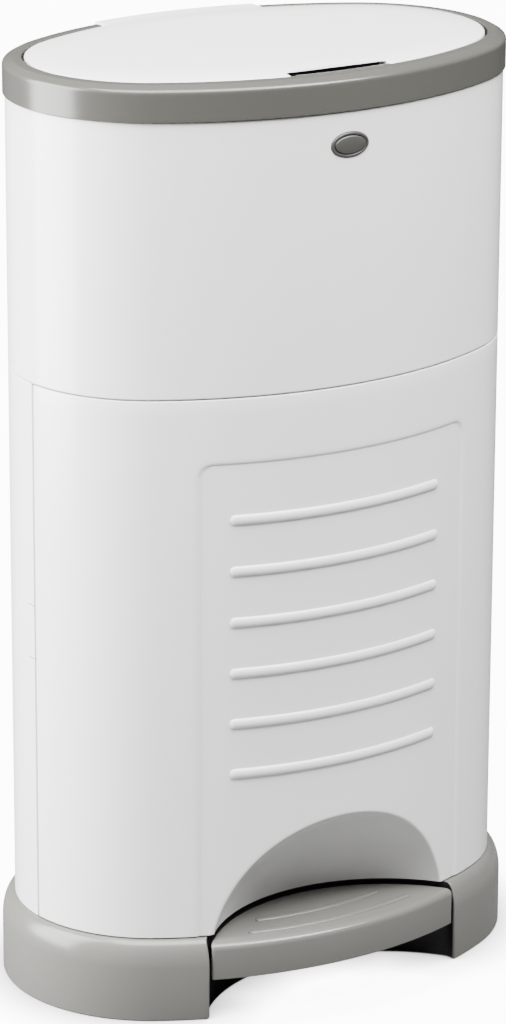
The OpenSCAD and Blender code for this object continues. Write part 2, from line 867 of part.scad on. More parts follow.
module hopper() color(dark_grey) {
    deck_z0 = deck_top - deck_plate;
    knuckle_x0 = 38;
    knuckle_x1 = 48;
    pocket_y0 = -96;
    pocket_y1 = -85.6;
    pocket_z0 = deck_top - 12;
    difference() {
        union() {
            difference() {
                oval_prism(rim_out - 3, deck_z0, deck_top);
                box([-notch_hx, 96, deck_z0 - eps], [notch_hx, 2 * half_d, deck_top + eps]);
                both_sides() box([49, 82.5, deck_z0 - eps], [notch_hx, 2 * half_d, deck_top + eps]);
                box([-10, 85.4, deck_z0 - eps], [10, 2 * half_d, deck_top + eps]);
            }
            funnel(bowl_e + bowl_t, bowl_t * norm([1, cone_slope]), throat_z0, deck_z0 + 1);
            both_sides() side_piece(knuckle_x0, knuckle_x1) {
                circle(r = knuckle_r);
                translate([-16, -3]) square([14, 3]);
            }
            slot_box(-0.5, pocket_y0 - 1.5, pocket_y1 + 1.5, pocket_z0, deck_top);
            flap_lugs();
        }
        funnel(bowl_e, 0, throat_z0 - eps, deck_top + eps);
        slot_box(-2, pocket_y0, pocket_y1, pocket_z0 + 1.5, deck_top + eps);
        both_sides() {
            bar_x(pin_r + run_fit, knuckle_x0 - eps, knuckle_x1 + eps, hinge_y, hinge_z);
            bar_y(flap_pin_r + seat_fit, throat_y - 25, throat_y + 25, flap_x, flap_z);
        }
        for (p = rim_screw_at)
            translate([p[0], p[1], deck_z0 - eps]) cylinder(r = 1.4, h = deck_plate + 2 * eps);
    }
}

module hopper_screws() color(steel) {
    for (p = rim_screw_at) screw(p[0], p[1], deck_top - deck_plate, deck_plate + 3.5, 1.2, 2.8);
}

module latch_hook() color(warm_grey) {
    hook_top = deck_top - deck_plate;
    hook_low = hook_top - 25;
    box([-9, -101, hook_low], [9, -98.5, hook_top]);
    box([-9, -103, hook_low], [9, -100, hook_low + 3]);
}

// Half-round trap flap on the right, with its knuckle on the pin
module trap_flap() color(warm_grey) {
    z0 = throat_z0 - 3;
    z1 = throat_z0 - 0.8;
    knuckle_hy = 12;
    difference() {
        union() {
            intersection() {
                translate([0, throat_y, z0]) cylinder(r = flap_r, h = z1 - z0);
                box([0.8, -2 * half_d, z0], [flap_r, 2 * half_d, z1]);
            }
            box([40, throat_y - knuckle_hy, z0], [flap_x + 1, throat_y + knuckle_hy, z1]);
            box([throat_r + 3.6, throat_y - knuckle_hy, z0], [flap_x + 1, throat_y + knuckle_hy, flap_z]);
            bar_y(3.4, throat_y - knuckle_hy, throat_y + knuckle_hy, flap_x, flap_z);
        }
        bar_y(flap_pin_r + run_fit, throat_y - 30, throat_y + 30, flap_x, flap_z);
    }
}

module flap_left() mirror([1, 0, 0]) trap_flap();
module flap_right() trap_flap();

module flap_pin() color(steel) {
    bar_y(flap_pin_r, throat_y - 23.5, throat_y + 23.5, flap_x, flap_z);
}

module flap_pin_left() mirror([1, 0, 0]) flap_pin();
module flap_pin_right() flap_pin();

module flap_spring() color(steel) {
    difference() {
        bar_y(3, throat_y + 12.4, throat_y + 16.6, flap_x, flap_z);
        bar_y(flap_pin_r + 0.3, throat_y + 12, throat_y + 17, flap_x, flap_z);
    }
}

module flap_spring_left() mirror([1, 0, 0]) flap_spring();
module flap_spring_right() flap_spring();

// Lid: a low crown inside a rounded edge, with a tab over the hinge
module lid_panel() color(white_shell) {
    lip_z = hinge_z + 1.5;
    difference() {
        union() {
            oval_sweep() polygon([
                [core_e - 1, lid_z0], [lid_e, lid_z0], [lid_e, top_z - 0.9],
                [lid_e - 0.3, top_z - 0.3], [lid_e - 1.2, top_z],
                [lid_e - 9, top_z + 0.7 * lid_crown], [core_e, top_z + lid_crown],
                [core_e - 1, top_z + lid_crown]
            ]);
            oval_prism(core_e, lid_z0, top_z + lid_crown);
            intersection() {
                oval_prism(rim_out, lip_z, top_z);
                union() {
                    box([-tab_hx, half_d / 2, lid_z0], [tab_hx, 2 * half_d, top_z]);
                    box([-tab_hx, hinge_y + 5.3, lip_z], [tab_hx, 2 * half_d, top_z]);
                }
            }
            both_sides() side_piece(14, 34) circle(r = knuckle_r);
        }
        both_sides() bar_x(knuckle_r + 0.5, 35, tab_hx + eps, hinge_y, hinge_z);
        bar_x(knuckle_r + 0.5, -13, 13, hinge_y, hinge_z);
        bar_x(pin_r + run_fit, -tab_hx - eps, tab_hx + eps, hinge_y, hinge_z);
        slot_box(0.8, -2 * half_d, slot_y, lid_z0 - eps, top_z + 2);
        // Undercut behind the finger slot, up to the seal
        intersection() {
            oval_ring(lid_e + eps, seal_in, lid_z0 - eps, slot_roof);
            slot_box(0.8, -2 * half_d, 0, lid_z0 - eps, slot_roof);
        }
    }
}

// Seal under the lid, with a raised part that closes the undercut behind the finger slot
module lid_seal() color(black_rubber) {
    oval_ring(seal_out, seal_in, deck_top + part_gap, lid_z0);
    intersection() {
        oval_ring(seal_out, seal_in, lid_z0 - part_gap, slot_roof);
        slot_box(0.5, -2 * half_d, 0, deck_top, top_z);
    }
}

// Crank under the lid: its round finger rests over the push rod's pad
module lid_crank() color(dark_grey) {
    foot_t = 1.6;
    intersection() {
        side_piece(-5, 5) {
            translate([finger_y - hinge_y, finger_z - hinge_z]) circle(r = finger_r);
            translate([finger_y - hinge_y - finger_r, finger_z - hinge_z])
                square([2 * finger_r, lid_z0 - finger_z]);
        }
        side_piece(-5, 5) circle(r = crank_r + 1.8);
    }
    box([-12, 87, lid_z0 - foot_t], [12, 97.5, lid_z0]);
}

module button_bezel() color(warm_grey) {
    button_stamp(-half_d - 0.8, -half_d + wall - 0.1) difference() {
        bezel_outline(0);
        bezel_outline(-bezel_t);
    }
}

module release_button() color(warm_grey) {
    button_stamp(-half_d - 1.6, slide_y) bezel_outline(-bezel_t - button_gap);
}

module latch_slide() color(dark_grey) {
    box([-slide_hx, slide_y, button_z - 8], [slide_hx, slide_y + slide_t, button_z + 8.9]);
}

// Guide behind the slide, with a wall that the spring pushes against
module latch_housing() color(dark_grey) {
    z0 = button_z - 11;
    inner_hx = slide_hx + 0.4;
    outer_hx = inner_hx + 2.6;
    difference() {
        intersection() {
            box([-outer_hx, -half_d, z0], [outer_hx, latch_back_y + 1.5, button_z + 8]);
            oval_prism(-wall - 0.05, z0, button_z + 8);
        }
        box([-inner_hx, -2 * half_d, button_z - 8.4], [inner_hx, latch_back_y, button_z + 9]);
    }
}

module button_spring() color(steel) {
    y0 = slide_y + slide_t + button_travel + part_gap;
    difference() {
        bar_y(4, y0, latch_back_y - run_fit, 0, button_z);
        bar_y(2.8, y0 - eps, latch_back_y + eps, 0, button_z);
    }
}

base_skirt();
floor_tray();
rubber_feet();
base_screws();
rear_shell();
rod_cover();
rod_guide_low();
rod_guide_mid();
rod_guide_top();
pedal_bearing_left();
pedal_bearing_right();
pedal_axle();
pedal_return_spring();
pedal_pad();
pedal_lever();
lever_screws();
push_rod();
rod_foot();
rod_pad();
door_panel();
door_catch();
door_hinge_pins();
upper_casing();
casing_screws();
cassette_tray();
film_cassette();
film_pack();
cutter_housing();
cutter_blade();
hinge_bracket();
top_hinge_pin();
rim_ring();
hopper();
hopper_screws();
latch_hook();
flap_left();
flap_right();
flap_pin_left();
flap_pin_right();
flap_spring_left();
flap_spring_right();
lid_panel();
lid_seal();
lid_crank();
button_bezel();
release_button();
latch_slide();
latch_housing();
button_spring();
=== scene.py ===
# The nappy bin's looks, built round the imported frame. Lengths are in millimetres until a mesh is made.
import json
import math

import bmesh
import bpy
import numpy as np
from mathutils import Matrix, Vector


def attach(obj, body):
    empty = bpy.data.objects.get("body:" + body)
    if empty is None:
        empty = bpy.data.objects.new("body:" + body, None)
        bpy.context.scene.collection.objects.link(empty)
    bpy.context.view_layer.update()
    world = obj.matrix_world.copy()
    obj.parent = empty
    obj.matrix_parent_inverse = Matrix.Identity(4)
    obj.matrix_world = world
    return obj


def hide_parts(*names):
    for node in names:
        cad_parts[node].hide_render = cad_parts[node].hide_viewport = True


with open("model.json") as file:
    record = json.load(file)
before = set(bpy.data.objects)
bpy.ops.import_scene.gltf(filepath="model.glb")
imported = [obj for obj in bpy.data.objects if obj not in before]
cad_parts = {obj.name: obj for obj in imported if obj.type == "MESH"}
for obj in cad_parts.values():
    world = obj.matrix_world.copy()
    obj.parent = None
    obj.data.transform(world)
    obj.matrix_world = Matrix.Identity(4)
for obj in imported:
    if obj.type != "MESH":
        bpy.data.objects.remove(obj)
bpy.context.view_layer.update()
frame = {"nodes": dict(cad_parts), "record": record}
nodes = frame["nodes"]
mm = 0.001
print("frame loaded:", len(nodes), "nodes")

# The body's outline: two flat arcs and two round ends that meet in tangents
body = {"length": 334.0, "depth": 219.2, "endRadius": 90.0, "wall": 2.8,
        "baseTop": 53.2, "seam": 409.3, "rimUnder": 582.7, "top": 605.0, "slotMiddle": 3.0}
halfLength = body["length"] / 2
halfDepth = body["depth"] / 2
endRadius = body["endRadius"]
wall = body["wall"]
endCentre = halfLength - endRadius
flatRadius = (endCentre ** 2 + halfDepth ** 2 - endRadius ** 2) / (2 * (halfDepth - endRadius))
flatCentre = flatRadius - halfDepth
joinAngle = math.atan2(flatCentre, endCentre)
flatHalf = flatRadius * (math.pi / 2 - joinAngle)
quarter = flatHalf + endRadius * joinAngle
around = 4 * quarter
well = {"centre": -168.0, "radius": 118.0, "half": 92.7, "fillet": 8.0, "front": -150.0, "points": 44,
        "straightPoints": 49, "bendPoints": 11, "arcPoints": 60}
wellCentre = well["centre"]
mirror = (-1, 1)


def ovalAt(s, e=0.0):
    # The point s along the outline from the front's middle towards +X, moved out by e
    s = np.mod(np.asarray(s, float), around)
    side = np.floor(s / quarter).astype(int) % 4
    t = np.where(side % 2 == 0, s - side * quarter, (side + 1) * quarter - s)
    onFlat = t <= flatHalf
    angle = np.where(onFlat, -math.pi / 2 + t / flatRadius, -joinAngle + (t - flatHalf) / endRadius)
    radius = np.where(onFlat, flatRadius, endRadius) + e
    x = np.where(onFlat, 0.0, endCentre) + radius * np.cos(angle)
    y = np.where(onFlat, flatCentre, 0.0) + radius * np.sin(angle)
    return x * np.where(side >= 2, -1, 1), y * np.where((side == 1) | (side == 2), -1, 1)


def offsetOf(x, y):
    # How far a point lies outside the outline
    x, y = np.abs(x), np.abs(y)
    onEnd = (x - endCentre) * flatCentre > y * endCentre
    return np.where(onEnd, np.hypot(x - endCentre, y) - endRadius, np.hypot(x, y + flatCentre) - flatRadius)


def arcTo(x, e=0.0):
    # Length along the outline from the front's middle to where a flat side, moved out by e, reaches x
    return flatRadius * np.arcsin(x / (flatRadius + e))


def endArc(y):
    # Length along a round end from its middle to a point y in front of it
    return endRadius * math.asin(y / endRadius)


def spread(start, stop, step, fine=()):
    # Even steps from start to stop, with finer ones between the limits in fine
    values = list(np.linspace(start, stop, max(2, round((stop - start) / step) + 1)))
    for low, high, small in fine:
        values = [v for v in values if not low - small / 2 < v < high + small / 2]
        values += list(np.linspace(low, high, max(2, round((high - low) / small) + 1)))
    return np.array(sorted(values))


def roundCorners(corners, steps=4):
    # Turns (x, y, radius) corners into points, each corner an arc between two guard points
    points = []
    for i, (x, y, radius) in enumerate(corners):
        here = np.array((x, y), float)
        if radius <= 0:
            points.append(here)
            continue
        toPrev = np.array(corners[i - 1][:2]) - here
        toNext = np.array(corners[(i + 1) % len(corners)][:2]) - here
        lengthPrev, lengthNext = np.linalg.norm(toPrev), np.linalg.norm(toNext)
        toPrev, toNext = toPrev / lengthPrev, toNext / lengthNext
        half = math.acos(max(-1.0, min(1.0, float(toPrev @ toNext)))) / 2
        cut = min(radius / math.tan(half), 0.46 * lengthPrev, 0.46 * lengthNext)
        real = cut * math.tan(half)
        middle = toPrev + toNext
        centre = here + middle / np.linalg.norm(middle) * real / math.sin(half)
        start, stop = here + toPrev * cut, here + toNext * cut
        guard = 0.3 + 0.3 * radius
        if cut + guard < 0.48 * lengthPrev:
            points.append(here + toPrev * (cut + guard))
        sweep = math.pi - 2 * half
        for k in range(steps + 1):
            t = k / steps
            points.append(centre + (math.sin((1 - t) * sweep) * (start - centre)
                                    + math.sin(t * sweep) * (stop - centre)) / math.sin(sweep))
        if cut + guard < 0.48 * lengthNext:
            points.append(here + toNext * (cut + guard))
    return np.array(points)


def quarterRound(radius, steps=4):
    # (inset, height) pairs of a quarter round, from its upright start to its level end
    angles = np.linspace(0, math.pi / 2, steps + 1)
    return [(radius * (1 - math.cos(a)), radius * math.sin(a)) for a in angles]


def addObject(name, data):
    made = bpy.data.objects.new(name, data)
    bpy.context.scene.collection.objects.link(made)
    return made


def newObject(name, points, faces):
    mesh = bpy.data.meshes.new(name)
    mesh.from_pydata((np.asarray(points) * mm).tolist(), [], faces)
    return addObject(name, mesh)


def discard(made):
    old = made.data
    bpy.data.objects.remove(made)
    bpy.data.meshes.remove(old)


def loopFaces(loops, perLoop, ring):
    # Quads between neighbouring loops of points, and an end face on the first and the last unless they
    # close into a ring
    faces = []
    for i in range(loops if ring else loops - 1):
        a, b = i * perLoop, ((i + 1) % loops) * perLoop
        for j in range(perLoop):
            k = (j + 1) % perLoop
            faces.append((a + j, a + k, b + k, b + j))
    if not ring:
        faces.append(tuple(range(perLoop))[::-1])
        faces.append(tuple(range((loops - 1) * perLoop, loops * perLoop)))
    return faces


def faceOut(made, merge=0.0):
    # Merges points less than merge metres apart, and turns every face outwards
    bm = bmesh.new()
    bm.from_mesh(made.data)
    if merge:
        bmesh.ops.remove_doubles(bm, verts=bm.verts, dist=merge)
    bmesh.ops.recalc_face_normals(bm, faces=bm.faces)
    bm.to_mesh(made.data)
    bm.free()
    return made


def skin(name, loops, ring=False):
    # A closed mesh over a row of loops that have the same number of points
    loops = [np.asarray(loop, float) for loop in loops]
    return faceOut(newObject(name, np.concatenate(loops), loopFaces(len(loops), len(loops[0]), ring)))


def fullTurn(steps):
    return np.linspace(0, 2 * math.pi, steps, endpoint=False)


def lathe(name, section, place=(0, 0, 0), lying=False, steps=32):
    # Turns (radius, height) points about the Z axis, or X if lying; a closed section makes a ring
    across, up = np.asarray(section, float).T
    loops = [np.stack([across * math.cos(t), across * math.sin(t), up], 1) for t in fullTurn(steps)]
    made = newObject(name, np.concatenate(loops), loopFaces(steps, len(section), True))
    turned = Matrix.Rotation(math.pi / 2, 4, "Y") if lying else Matrix.Identity(4)
    made.data.transform(Matrix.Translation(Vector(place) * mm) @ turned)
    return faceOut(made, 1e-6)


def ringSection(outer, inner, low, high, soft=0.4):
    corners = [(outer, low, soft), (outer, high, soft), (inner, high, soft), (inner, low, soft)]
    return roundCorners(corners, steps=3)


def join(name, *parts):
    # One mesh out of several closed ones
    bm = bmesh.new()
    for part in parts:
        bm.from_mesh(part.data)
        discard(part)
    mesh = bpy.data.meshes.new(name)
    bm.to_mesh(mesh)
    bm.free()
    return addObject(name, mesh)


def bake(made):
    # Turns an object's modifiers into its plain mesh
    graph = bpy.context.evaluated_depsgraph_get()
    mesh = bpy.data.meshes.new_from_object(made.evaluated_get(graph))
    made.modifiers.clear()
    old = made.data
    made.data = mesh
    bpy.data.meshes.remove(old)


def cut(made, tool):
    change = made.modifiers.new("cut", "BOOLEAN")
    change.operation = "DIFFERENCE"
    change.solver = "EXACT"
    change.object = tool
    bake(made)
    discard(tool)


def block(low, high):
    x, y, z = zip(low, high)
    points = [(x[i], y[j], z[k]) for k in (0, 1) for i, j in ((0, 0), (1, 0), (1, 1), (0, 1))]
    return skin("block", [points[:4], points[4:]])


def cylinder(radius, low, high, u, v, steps=48, lying=False):
    # Upright with its middle at x = u, y = v, or lying along X with its middle at y = u, z = v
    ring = [(u + radius * math.cos(t), v + radius * math.sin(t)) for t in fullTurn(steps)]
    return skin("cylinder", [[(h, *p) if lying else (*p, h) for p in ring] for h in (low, high)])


def atHeight(points, z):
    return np.column_stack([points, np.full(len(points), z)])


def ovalLoops(places, sectionAt):
    # One section loop at each place along the outline; sectionAt(s) gives (e, z) points and their own s
    loops = []
    for s in places:
        section, along = sectionAt(s)
        x, y = ovalAt(along, section[:, 0])
        loops.append(np.stack([x, y, section[:, 1]], 1))
    return loops


def strip(section, start, stop, step):
    # A bar of one section along the outline
    return skin("strip", ovalLoops(spread(start, stop, step), lambda s: (section, s)))


def wellPath(side, back):
    # The right half of the pedal well's edge, front to back, with the direction it faces at each point
    fillet = well["fillet"]
    bendX = well["half"] + side - fillet
    bendY = wellCentre + math.sqrt((well["radius"] + back - fillet) ** 2 - bendX ** 2)
    turn = math.atan2(bendY - wellCentre, bendX)
    straight = np.linspace(well["front"], bendY, well["straightPoints"], endpoint=False)
    bend = np.linspace(0, turn, well["bendPoints"], endpoint=False)
    arc = np.linspace(turn, math.pi / 2, well["arcPoints"])
    facing = np.concatenate([0 * straight, bend, arc])
    radius = well["radius"] + back
    xs = np.concatenate([0 * straight + bendX + fillet, bendX + fillet * np.cos(bend),
                         radius * np.cos(arc)])
    ys = np.concatenate([straight, bendY + fillet * np.sin(bend), wellCentre + radius * np.sin(arc)])
    return np.stack([xs, ys], 1), facing


def wellCorner(frontRadius, side, back, corner):
    # Where the front arc meets the well: the corner rounding's centre, and the edge from there to the
    # middle. A corner above 0 lies in the plastic round the well, one below 0 lies in the pedal
    path, facing = wellPath(side, back)
    centres = path + corner * np.stack([np.cos(facing), np.sin(facing)], 1)
    reach = np.hypot(centres[:, 0], centres[:, 1] - flatCentre)
    want = frontRadius - abs(corner)
    k = int(np.argmax(reach < want))
    f = (reach[k - 1] - want) / (reach[k - 1] - reach[k])
    centre = centres[k - 1] + f * (centres[k] - centres[k - 1])
    rest = np.concatenate([[path[k - 1] + f * (path[k] - path[k - 1])], path[k:]])
    run = np.concatenate([[0], np.cumsum(np.hypot(*np.diff(rest, axis=0).T))])
    even = np.linspace(0, run[-1], well["points"])
    edge = np.stack([np.interp(even, run, rest[:, 0]), np.interp(even, run, rest[:, 1])], 1)
    return centre, float(facing[k - 1] + f * (facing[k] - facing[k - 1])), edge


def meetX(radiusA, radiusB):
    # Where a circle about the flat front's centre meets one about the well's centre, on the +X side
    y = (radiusA ** 2 - radiusB ** 2 - flatCentre ** 2 + wellCentre ** 2) / (2 * (wellCentre - flatCentre))
    return math.sqrt(radiusB ** 2 - (y - wellCentre) ** 2)


# Materials

def feed(tree, node, *inOrder, **byName):
    # Gives a node's inputs, in order or by name, a value, a socket or another node's first output
    pairs = list(zip(node.inputs, inOrder))
    pairs += [(node.inputs[name.replace("_", " ")], value) for name, value in byName.items()]
    for socket, value in pairs:
        if isinstance(value, bpy.types.Node):
            value = value.outputs[0]
        if isinstance(value, bpy.types.NodeSocket):
            tree.links.new(value, socket)
        else:
            socket.default_value = value
    return node


def addNode(tree, kind, settings=None, *inOrder, **byName):
    node = tree.nodes.new(kind)
    for name, value in (settings or {}).items():
        setattr(node, name, value)
    return feed(tree, node, *inOrder, **byName)


def mathNode(tree, operation, *values):
    return addNode(tree, "ShaderNodeMath", {"operation": operation}, *values)


def noise(tree, scale, detail, **more):
    place = addNode(tree, "ShaderNodeTexCoord").outputs["Object"]
    return addNode(tree, "ShaderNodeTexNoise", Vector=place, Scale=scale, Detail=detail, **more)


def newTree(name, kind, inputs, outputs):
    # inputs holds (label, kind of socket) or (label, kind of socket, default)
    tree = bpy.data.node_groups.new(name, kind)
    for label, socketKind, *default in inputs:
        socket = tree.interface.new_socket(label, in_out="INPUT", socket_type="NodeSocket" + socketKind)
        if default:
            socket.default_value = default[0]
    for label, socketKind in outputs:
        tree.interface.new_socket(label, in_out="OUTPUT", socket_type="NodeSocket" + socketKind)
    return tree, addNode(tree, "NodeGroupInput").outputs


def makeMouldGrain():
    # The fine texture of a mould's surface and the slow ripple of a large moulded wall
    group, get = newTree("mould grain", "ShaderNodeTree", [
        ("Grain per metre", "Float", 900.0), ("Grain depth", "Float", 0.2),
        ("Ripple per metre", "Float", 9.0), ("Ripple depth", "Float", 0.1)], [("Normal", "Vector")])
    slow = addNode(group, "ShaderNodeBump", Strength=get["Ripple depth"], Distance=0.004,
                   Height=noise(group, get["Ripple per metre"], 1.0))
    fine = addNode(group, "ShaderNodeBump", Strength=get["Grain depth"], Distance=0.0003,
                   Height=noise(group, get["Grain per metre"], 3.0), Normal=slow)
    addNode(group, "NodeGroupOutput", Normal=fine)
    return group


def makeHandling():
    # Where hands and cloths have been: roughness in soft patches
    group, get = newTree("handling", "ShaderNodeTree", [
        ("Roughness", "Float", 0.3), ("Spread", "Float", 0.08), ("Patches per metre", "Float", 16.0)],
        [("Roughness", "Float")])
    patches = noise(group, get["Patches per metre"], 5.0, Roughness=0.6)
    centred = mathNode(group, "SUBTRACT", patches, 0.5)
    rough = mathNode(group, "MULTIPLY_ADD", centred, get["Spread"], get["Roughness"])
    addNode(group, "NodeGroupOutput", Roughness=rough)
    return group


def makePigment():
    # Plastic is a little uneven in colour, in slow clouds
    group, get = newTree("pigment", "ShaderNodeTree", [
        ("Colour", "Color", (0.8, 0.8, 0.8, 1)), ("Shade", "Color", (0.7, 0.7, 0.7, 1)),
        ("Clouds per metre", "Float", 12.0)], [("Colour", "Color")])
    clouds = noise(group, get["Clouds per metre"], 4.0)
    blend = addNode(group, "ShaderNodeMix", {"data_type": "RGBA"}, Factor=clouds, A=get["Colour"],
                    B=get["Shade"])
    addNode(group, "NodeGroupOutput", Colour=blend.outputs["Result"])
    return group


mouldGrain, handling, pigment = makeMouldGrain(), makeHandling(), makePigment()


def makePlastic(name, colour, shade, roughness, spread, grain, grainDepth, ripple, metallic=0.0):
    material = bpy.data.materials.new(name)
    material.use_nodes = True
    tree = material.node_tree
    tree.nodes.clear()
    tint = addNode(tree, "ShaderNodeGroup", {"node_tree": pigment}, Colour=(*colour, 1), Shade=(*shade, 1))
    rough = addNode(tree, "ShaderNodeGroup", {"node_tree": handling}, Roughness=roughness, Spread=spread)
    bumps = addNode(tree, "ShaderNodeGroup", {"node_tree": mouldGrain}, Grain_per_metre=grain,
                    Grain_depth=grainDepth, Ripple_depth=ripple)
    shader = addNode(tree, "ShaderNodeBsdfPrincipled", Metallic=metallic, IOR=1.5, Base_Color=tint,
                     Roughness=rough, Normal=bumps)
    addNode(tree, "ShaderNodeOutputMaterial", Surface=shader)
    return material


# Name, colour, shade, roughness and its spread, grain per metre and its depth, ripple depth, metallic
plastics = {
    "white_shell": ("white plastic", (0.80, 0.80, 0.795), (0.775, 0.775, 0.77),
                    0.2, 0.08, 1100.0, 0.12, 0.05),
    "grey_moulding": ("warm grey plastic", (0.142, 0.140, 0.128), (0.127, 0.125, 0.114),
                      0.22, 0.1, 1000.0, 0.2, 0.05),
    "ring_grey": ("warm grey ring plastic", (0.070, 0.069, 0.062), (0.064, 0.063, 0.056),
                  0.2, 0.08, 1000.0, 0.2, 0.04),
    "button_grey": ("button plastic", (0.052, 0.051, 0.048), (0.044, 0.043, 0.04),
                    0.3, 0.1, 1200.0, 0.2, 0.03),
    "dark_moulding": ("charcoal plastic", (0.03, 0.03, 0.03), (0.022, 0.022, 0.022),
                      0.42, 0.12, 800.0, 0.4, 0.05),
    # Near black for the sheet of painted shade in the pedal's well, where the open base shows only shade
    "well_black": ("painted shade black", (0.006, 0.006, 0.006), (0.004, 0.004, 0.004),
                   0.55, 0.12, 800.0, 0.4, 0.05),
    "rubber": ("black rubber", (0.015, 0.015, 0.015), (0.022, 0.022, 0.022),
               0.62, 0.15, 1500.0, 0.6, 0.02),
    "film": ("pale blue film", (0.62, 0.74, 0.84), (0.5, 0.64, 0.76),
             0.3, 0.2, 400.0, 0.5, 0.3),
    "steel": ("zinc plated steel", (0.62, 0.63, 0.65), (0.5, 0.51, 0.53),
              0.3, 0.16, 600.0, 0.15, 0.03, 1.0)}
finishes = {slot: makePlastic(*look) for slot, look in plastics.items()}


def paint(piece, finish):
    piece.data.materials.clear()
    piece.data.materials.append(finishes[finish])


def dress(piece, ridesOn, slot, *standsFor, finish=None, sharp=32):
    piece.data.shade_smooth()
    piece.data.set_sharp_from_angle(angle=math.radians(sharp))
    paint(piece, finish or slot)
    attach(piece, ridesOn)
    if standsFor:
        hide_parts(*standsFor)


def dressNodes():
    # CAD nodes that stay as they are get the finish of their slot
    for part in frame["record"]["subparts"]:
        paint(nodes[part["node"]], part["material_slot"])


dressNodes()
print("materials made:", len(finishes))

# Camera, floor and light

view = {"azimuth": -31.1, "elevation": 17.95, "target": (0, 0, 294.7), "distance": 2910.0, "roll": 0.232,
        "focalPixels": 4511.0, "middle": (255.5, 514.55), "picture": (506, 1024), "sensor": 36.0}


def makeCamera():
    turn, lift, roll = (math.radians(view[k]) for k in ("azimuth", "elevation", "roll"))
    back = Vector((math.sin(turn) * math.cos(lift), -math.cos(turn) * math.cos(lift), math.sin(lift)))
    right = Vector((math.cos(turn), math.sin(turn), 0))
    up = back.cross(right)
    rolledRight = right * math.cos(roll) + up * math.sin(roll)
    rolledUp = up * math.cos(roll) - right * math.sin(roll)
    lens = bpy.data.cameras.new("camera")
    width, height = view["picture"]
    lens.sensor_width = lens.sensor_height = view["sensor"]
    lens.lens = view["focalPixels"] / height * view["sensor"]
    lens.shift_x = (width / 2 - view["middle"][0]) / height
    lens.shift_y = (view["middle"][1] - height / 2) / height
    lens.clip_end = 100
    camera = addObject("camera", lens)
    place = (Vector(view["target"]) + back * view["distance"]) * mm
    turned = Matrix((rolledRight, rolledUp, back)).transposed().to_4x4()
    camera.matrix_world = Matrix.Translation(place) @ turned
    bpy.context.scene.camera = camera


studio = {"floorHalf": 16000.0, "world": 0.13, "floorTone": 0.10, "toneSpread": 0.03, "floorGlow": 12.0,
          "shadeReach": 40.0, "shadePower": 2.4,
          "lights": [("overhead", (-250, -520, 1850), (0, -60, 300), (1700, 1250), 128),
                     ("left box", (-980, 330, 640), (-60, 0, 330), (780, 1280), 78),
                     ("front fill", (850, -1300, 2200), (0, 0, 300), (900, 700), 80)]}


def makeStudio():
    world = bpy.data.worlds.new("studio")
    world.use_nodes = True
    feed(world.node_tree, world.node_tree.nodes["Background"], Color=(1, 1, 1, 1), Strength=studio["world"])
    bpy.context.scene.world = world
    half, tone = studio["floorHalf"], studio["floorTone"]
    floor = newObject("floor", [(-half, -half, 0), (half, -half, 0), (half, half, 0), (-half, half, 0)],
                      [(0, 1, 2, 3)])
    paper = bpy.data.materials.new("floor paper")
    paper.use_nodes = True
    tree = paper.node_tree
    tones = addNode(tree, "ShaderNodeMapRange", Value=noise(tree, 3.0, 2.0), To_Min=tone,
                    To_Max=tone + studio["toneSpread"])
    # White for the camera only, so that the floor throws little light up into the niche,
    # and less white where the object stands close over it: a painted shadow from ambient occlusion
    path = addNode(tree, "ShaderNodeLightPath")
    shade = addNode(tree, "ShaderNodeAmbientOcclusion", Distance=studio["shadeReach"] * mm)
    deep = mathNode(tree, "POWER", shade.outputs["AO"], studio["shadePower"])
    seen = mathNode(tree, "MULTIPLY", path, deep)
    glow = mathNode(tree, "MULTIPLY", seen, studio["floorGlow"])
    feed(tree, tree.nodes["Principled BSDF"], Base_Color=tones, Roughness=0.7,
         Emission_Color=(1, 1, 1, 1), Emission_Strength=glow)
    floor.data.materials.append(paper)
    for name, place, target, size, power in studio["lights"]:
        light = bpy.data.lights.new(name, "AREA")
        light.shape = "RECTANGLE"
        light.size, light.size_y = size[0] * mm, size[1] * mm
        light.energy = power
        lamp = addObject(name, light)
        lamp.location = Vector(place) * mm
        lamp.rotation_euler = (Vector(target) - Vector(place)).to_track_quat("-Z", "Y").to_euler()


makeCamera()
makeStudio()
print("camera, floor and lights set")

# Upper casing: a ring with an inner flange at the seam and a ledge for the cassette tray
casing = {"top": 582.2, "rearRise": 5.3, "rearHalf": 59.0, "seamGap": 0.2, "flange": 9.0, "ledge": 424.3,
          "soft": 0.7, "columnStep": 4.0, "bossRadius": 4.5, "bossInset": 6.6, "bossAngle": 45.0,
          "bossBackX": 55.0, "bossSoft": 0.5, "bossTop": 423.1, "screwRadius": 1.6}
button = {"z": 561.5, "halfWide": 13.4, "halfHigh": 8.0, "rim": 2.0, "gap": 0.3, "fit": 0.3,
          "bezelFront": 0.8, "bezelDepth": 3.5, "front": 1.6, "back": -102.8, "soft": 0.9, "softSink": 1.25,
          "dish": ((1.6, 0.22), (2.6, 0.12), (3.6, 0.04), (4.6, 0.0))}


def ellipseLoop(grow, y, steps=64):
    turns = fullTurn(steps)
    return np.stack([(button["halfWide"] + grow) * np.cos(turns), np.full(steps, float(y)),
                     button["z"] + (button["halfHigh"] + grow) * np.sin(turns)], 1)


def bossPlaces():
    reach = endRadius - casing["bossInset"]
    turn = math.radians(casing["bossAngle"])
    backX = casing["bossBackX"]
    backY = math.sqrt((flatRadius - casing["bossInset"]) ** 2 - backX ** 2) - flatCentre
    right = ((endCentre + reach * math.cos(turn), reach * math.sin(turn)), (backX, backY))
    return [(side * x, y) for side in (-1, 1) for x, y in right]


